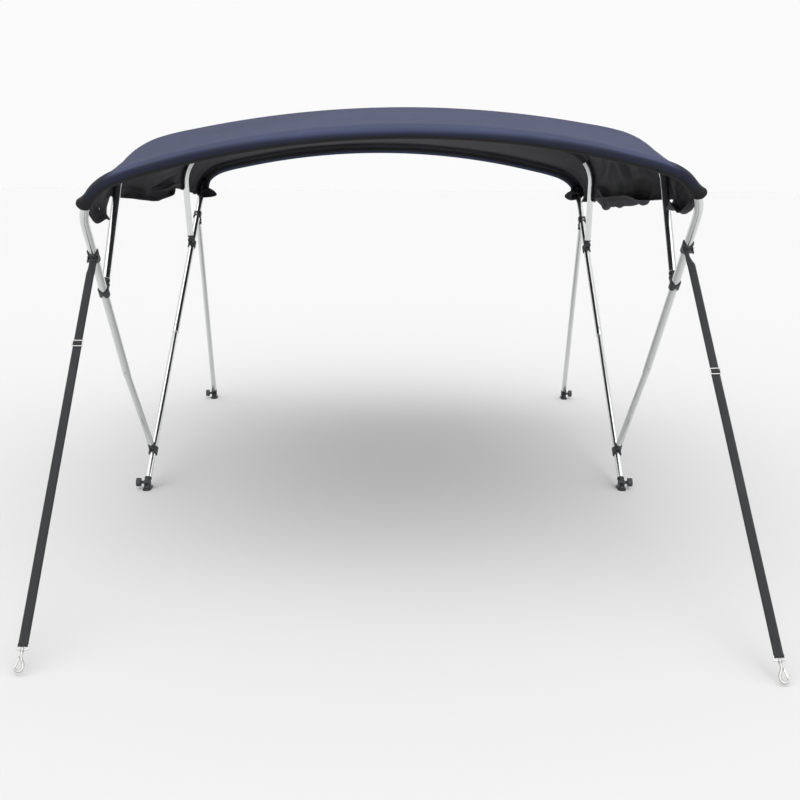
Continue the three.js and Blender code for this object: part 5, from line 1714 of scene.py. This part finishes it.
class BIMINI_OT_end_fittings(bpy.types.Operator):
    """Black eye ends of the tubes"""
    bl_idname = "bimini.end_fittings"
    bl_label = "Eye ends"

    def execute(self, context):
        eye = eye_end()
        for word, side in SIDES.items():
            at = PINS[word]
            goals = {
                "front": bow_point(BOWS["front"], side, 2, HEIGHT["front_joint"]),
                "second": bow_point(BOWS["second"], side, 2),
                "third": bow_point(BOWS["third"], side, 2),
                "main": bow_point(BOWS["main"], side, 2, HEIGHT["main_joint"]),
                "pole": at["rear"],
                "rear": at["pole"],
            }
            for name, goal in goals.items():
                place = frame_at(at[name], goal - at[name])
                fit(f"end_{name}_{word}", eye, place, "frame", "nylon", f"eye_{name}_{word}")
        return {"FINISHED"}


class BIMINI_OT_slides(bpy.types.Operator):
    """Jaw slides that join the bows, and the slides that hold the straps"""
    bl_idname = "bimini.slides"
    bl_label = "Slides"

    def execute(self, context):
        jaw, holder, screw = jaw_slide(), strap_slide(), turned_piece("screw", BUTTON, 24, 50)
        rows = (("front", "main", "front_foot", True), ("third", "main", "third", True),
                ("pole", "main", "pole", False), ("second", "front", "second", False))
        for word, side in SIDES.items():
            for name, bow, height, turned in rows:
                at = bow_point(BOWS[bow], side, 2, HEIGHT[height])
                place = frame_at(at, along_leg(BOWS[bow], side), turned)
                fit(f"jaw_{name}_{word}", jaw, place, "frame", "nylon", f"slide_{name}_{word}")
                low = moved(place, [0, -SLIDE["radius"] + 0.6, -SLIDE["height"] * 0.2])
                fit(f"slide_screw_{name}_{word}", screw, frame_at(low, -place[:3, 1]), "frame", "steel")
            fit(f"holder_{word}", holder, strap_slide_place(word), "frame", "nylon", f"slide_strap_{word}")
        return {"FINISHED"}


class BIMINI_OT_hinges(bpy.types.Operator):
    """Deck hinges with countersunk holes, and their thumb screws"""
    bl_idname = "bimini.hinges"
    bl_label = "Deck hinges"

    def execute(self, context):
        hinge, screw = deck_hinge(), thumb_screw()
        for word, side in SIDES.items():
            for name in ("main", "rear"):
                pivot = PINS[word][name]
                place = np.eye(4)
                place[:3, 3] = pivot[0], pivot[1], 0
                fit(f"hinge_{name}_{word}", hinge, place, "frame", "nylon", f"deck_hinge_{name}_{word}")
                place = np.diag([side, side, 1, 1]).astype(float)
                place[:3, 3] = pivot
                knob = f"knob_{name}_{word}"
                fit(f"thumb_screw_{name}_{word}", screw, place, knob, "nylon", knob)
        return {"FINISHED"}


class BIMINI_OT_canopy(bpy.types.Operator):
    """The canopy: one curved sheet with its sleeves, hem and folds"""
    bl_idname = "bimini.canopy"
    bl_label = "Canopy"

    def execute(self, context):
        _, mesh = the_canopy()
        piece = new_piece("canopy_sheet", mesh)
        dress(piece, "frame", "canopy_cloth", "canopy", finishes=("canopy", "lining"))
        return {"FINISHED"}


class BIMINI_OT_pockets(bpy.types.Operator):
    """Sewn strips that hold the second and third bow under the canopy"""
    bl_idname = "bimini.pockets"
    bl_label = "Pocket strips"

    def execute(self, context):
        sheet, _ = the_canopy()
        for name, length in (("second", 2.02), ("third", 1.72)):
            piece = new_piece(f"pocket_strip_{name}", build_pocket(sheet, name))
            dress(piece, "frame", "pocket_cloth", f"pocket_{name}", finishes=("lining",))
        for name in ("front", "main"):
            mesh, flat = build_closing(sheet, name)
            piece = new_piece(f"sleeve_closing_{name}", mesh)
            dress(piece, "frame", "pocket_cloth", finishes=("lining",))
        return {"FINISHED"}


class BIMINI_OT_studs(bpy.types.Operator):
    """Press studs on the inner face of the canopy's sides"""
    bl_idname = "bimini.studs"
    bl_label = "Press studs"

    def execute(self, context):
        stud = turned_piece("stud", STUD, 32, 40)
        for word, side in SIDES.items():
            low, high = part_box(f"stud_{word}")
            centre = np.array((low + high) / 2) * 1000 + ORIGIN
            widest = max(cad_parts[f"stud_{word}"].data.polygons, key=lambda polygon: polygon.area)
            facing = np.array(widest.normal)
            if facing[0] * side > 0:
                facing = -facing
            fit(f"press_stud_{word}", stud, frame_at(centre, facing), "frame", "steel", f"stud_{word}")
        return {"FINISHED"}


class BIMINI_OT_straps(bpy.types.Operator):
    """Webbing straps with their glides and snap hooks"""
    bl_idname = "bimini.straps"
    bl_label = "Straps and snap hooks"

    def execute(self, context):
        plate, loop, hook, gate = glide_plate(), snap_loop(), snap_hook(), snap_gate()
        bunch = context.scene.bimini_sizes.strap_bunch
        for word, side in SIDES.items():
            mesh, place, glide_at, length = build_strap(word, bunch if side > 0 else 0.25 * bunch)
            piece = new_piece(f"strap_webbing_{word}", mesh)
            dress(piece, "frame", "webbing", f"strap_{word}")
            flat = (STRAP["width"] / 1000, WEBBING_SHARE * length / 1000)
            at = place.copy()
            at[:3, 3] = moved(place, [0, OVER_GLIDE - GLIDE["thickness"] / 2, glide_at])
            fit(f"glide_plate_{word}", plate, at, "frame", "steel", f"glide_{word}")
            snap = frame_at(STRAP_END[word], place[:3, 2], side > 0)
            for name, shape in (("loop", loop), ("hook", hook), ("gate", gate)):
                body = "frame" if name == "loop" else f"snap_{name}_{word}"
                fit(f"{name}_{word}", shape, snap, body, "steel", f"snap_{name}_{word}")
        return {"FINISHED"}


class BIMINI_PT_panel(bpy.types.Panel):
    """Lists the pieces of the bimini top"""
    bl_label = "Bimini Top"
    bl_idname = "BIMINI_PT_panel"
    bl_space_type = "VIEW_3D"
    bl_region_type = "UI"
    bl_category = "Bimini Top"

    def draw(self, context):
        layout = self.layout
        for group in (context.scene.bimini_sizes, context.scene.bimini_colours):
            box = layout.box()
            for key in group.__annotations__:
                box.prop(group, key)
        for operator in OPERATORS:
            layout.operator(operator.bl_idname)


OPERATORS = (
    BIMINI_OT_stage, BIMINI_OT_tubes, BIMINI_OT_end_fittings, BIMINI_OT_slides, BIMINI_OT_hinges,
    BIMINI_OT_canopy, BIMINI_OT_pockets, BIMINI_OT_studs, BIMINI_OT_straps,
)
CLASSES = (BiminiSizes, BiminiColours, *OPERATORS, BIMINI_PT_panel)


def register():
    for one in CLASSES:
        bpy.utils.register_class(one)
    bpy.types.Scene.bimini_sizes = bpy.props.PointerProperty(type=BiminiSizes)
    bpy.types.Scene.bimini_colours = bpy.props.PointerProperty(type=BiminiColours)


def unregister():
    del bpy.types.Scene.bimini_colours
    del bpy.types.Scene.bimini_sizes
    for one in reversed(CLASSES):
        bpy.utils.unregister_class(one)


def main():
    register()
    for operator in OPERATORS:
        name = operator.bl_idname.split(".")[1]
        getattr(bpy.ops.bimini, name)()
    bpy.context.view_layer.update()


if __name__ == "__main__":
    main()
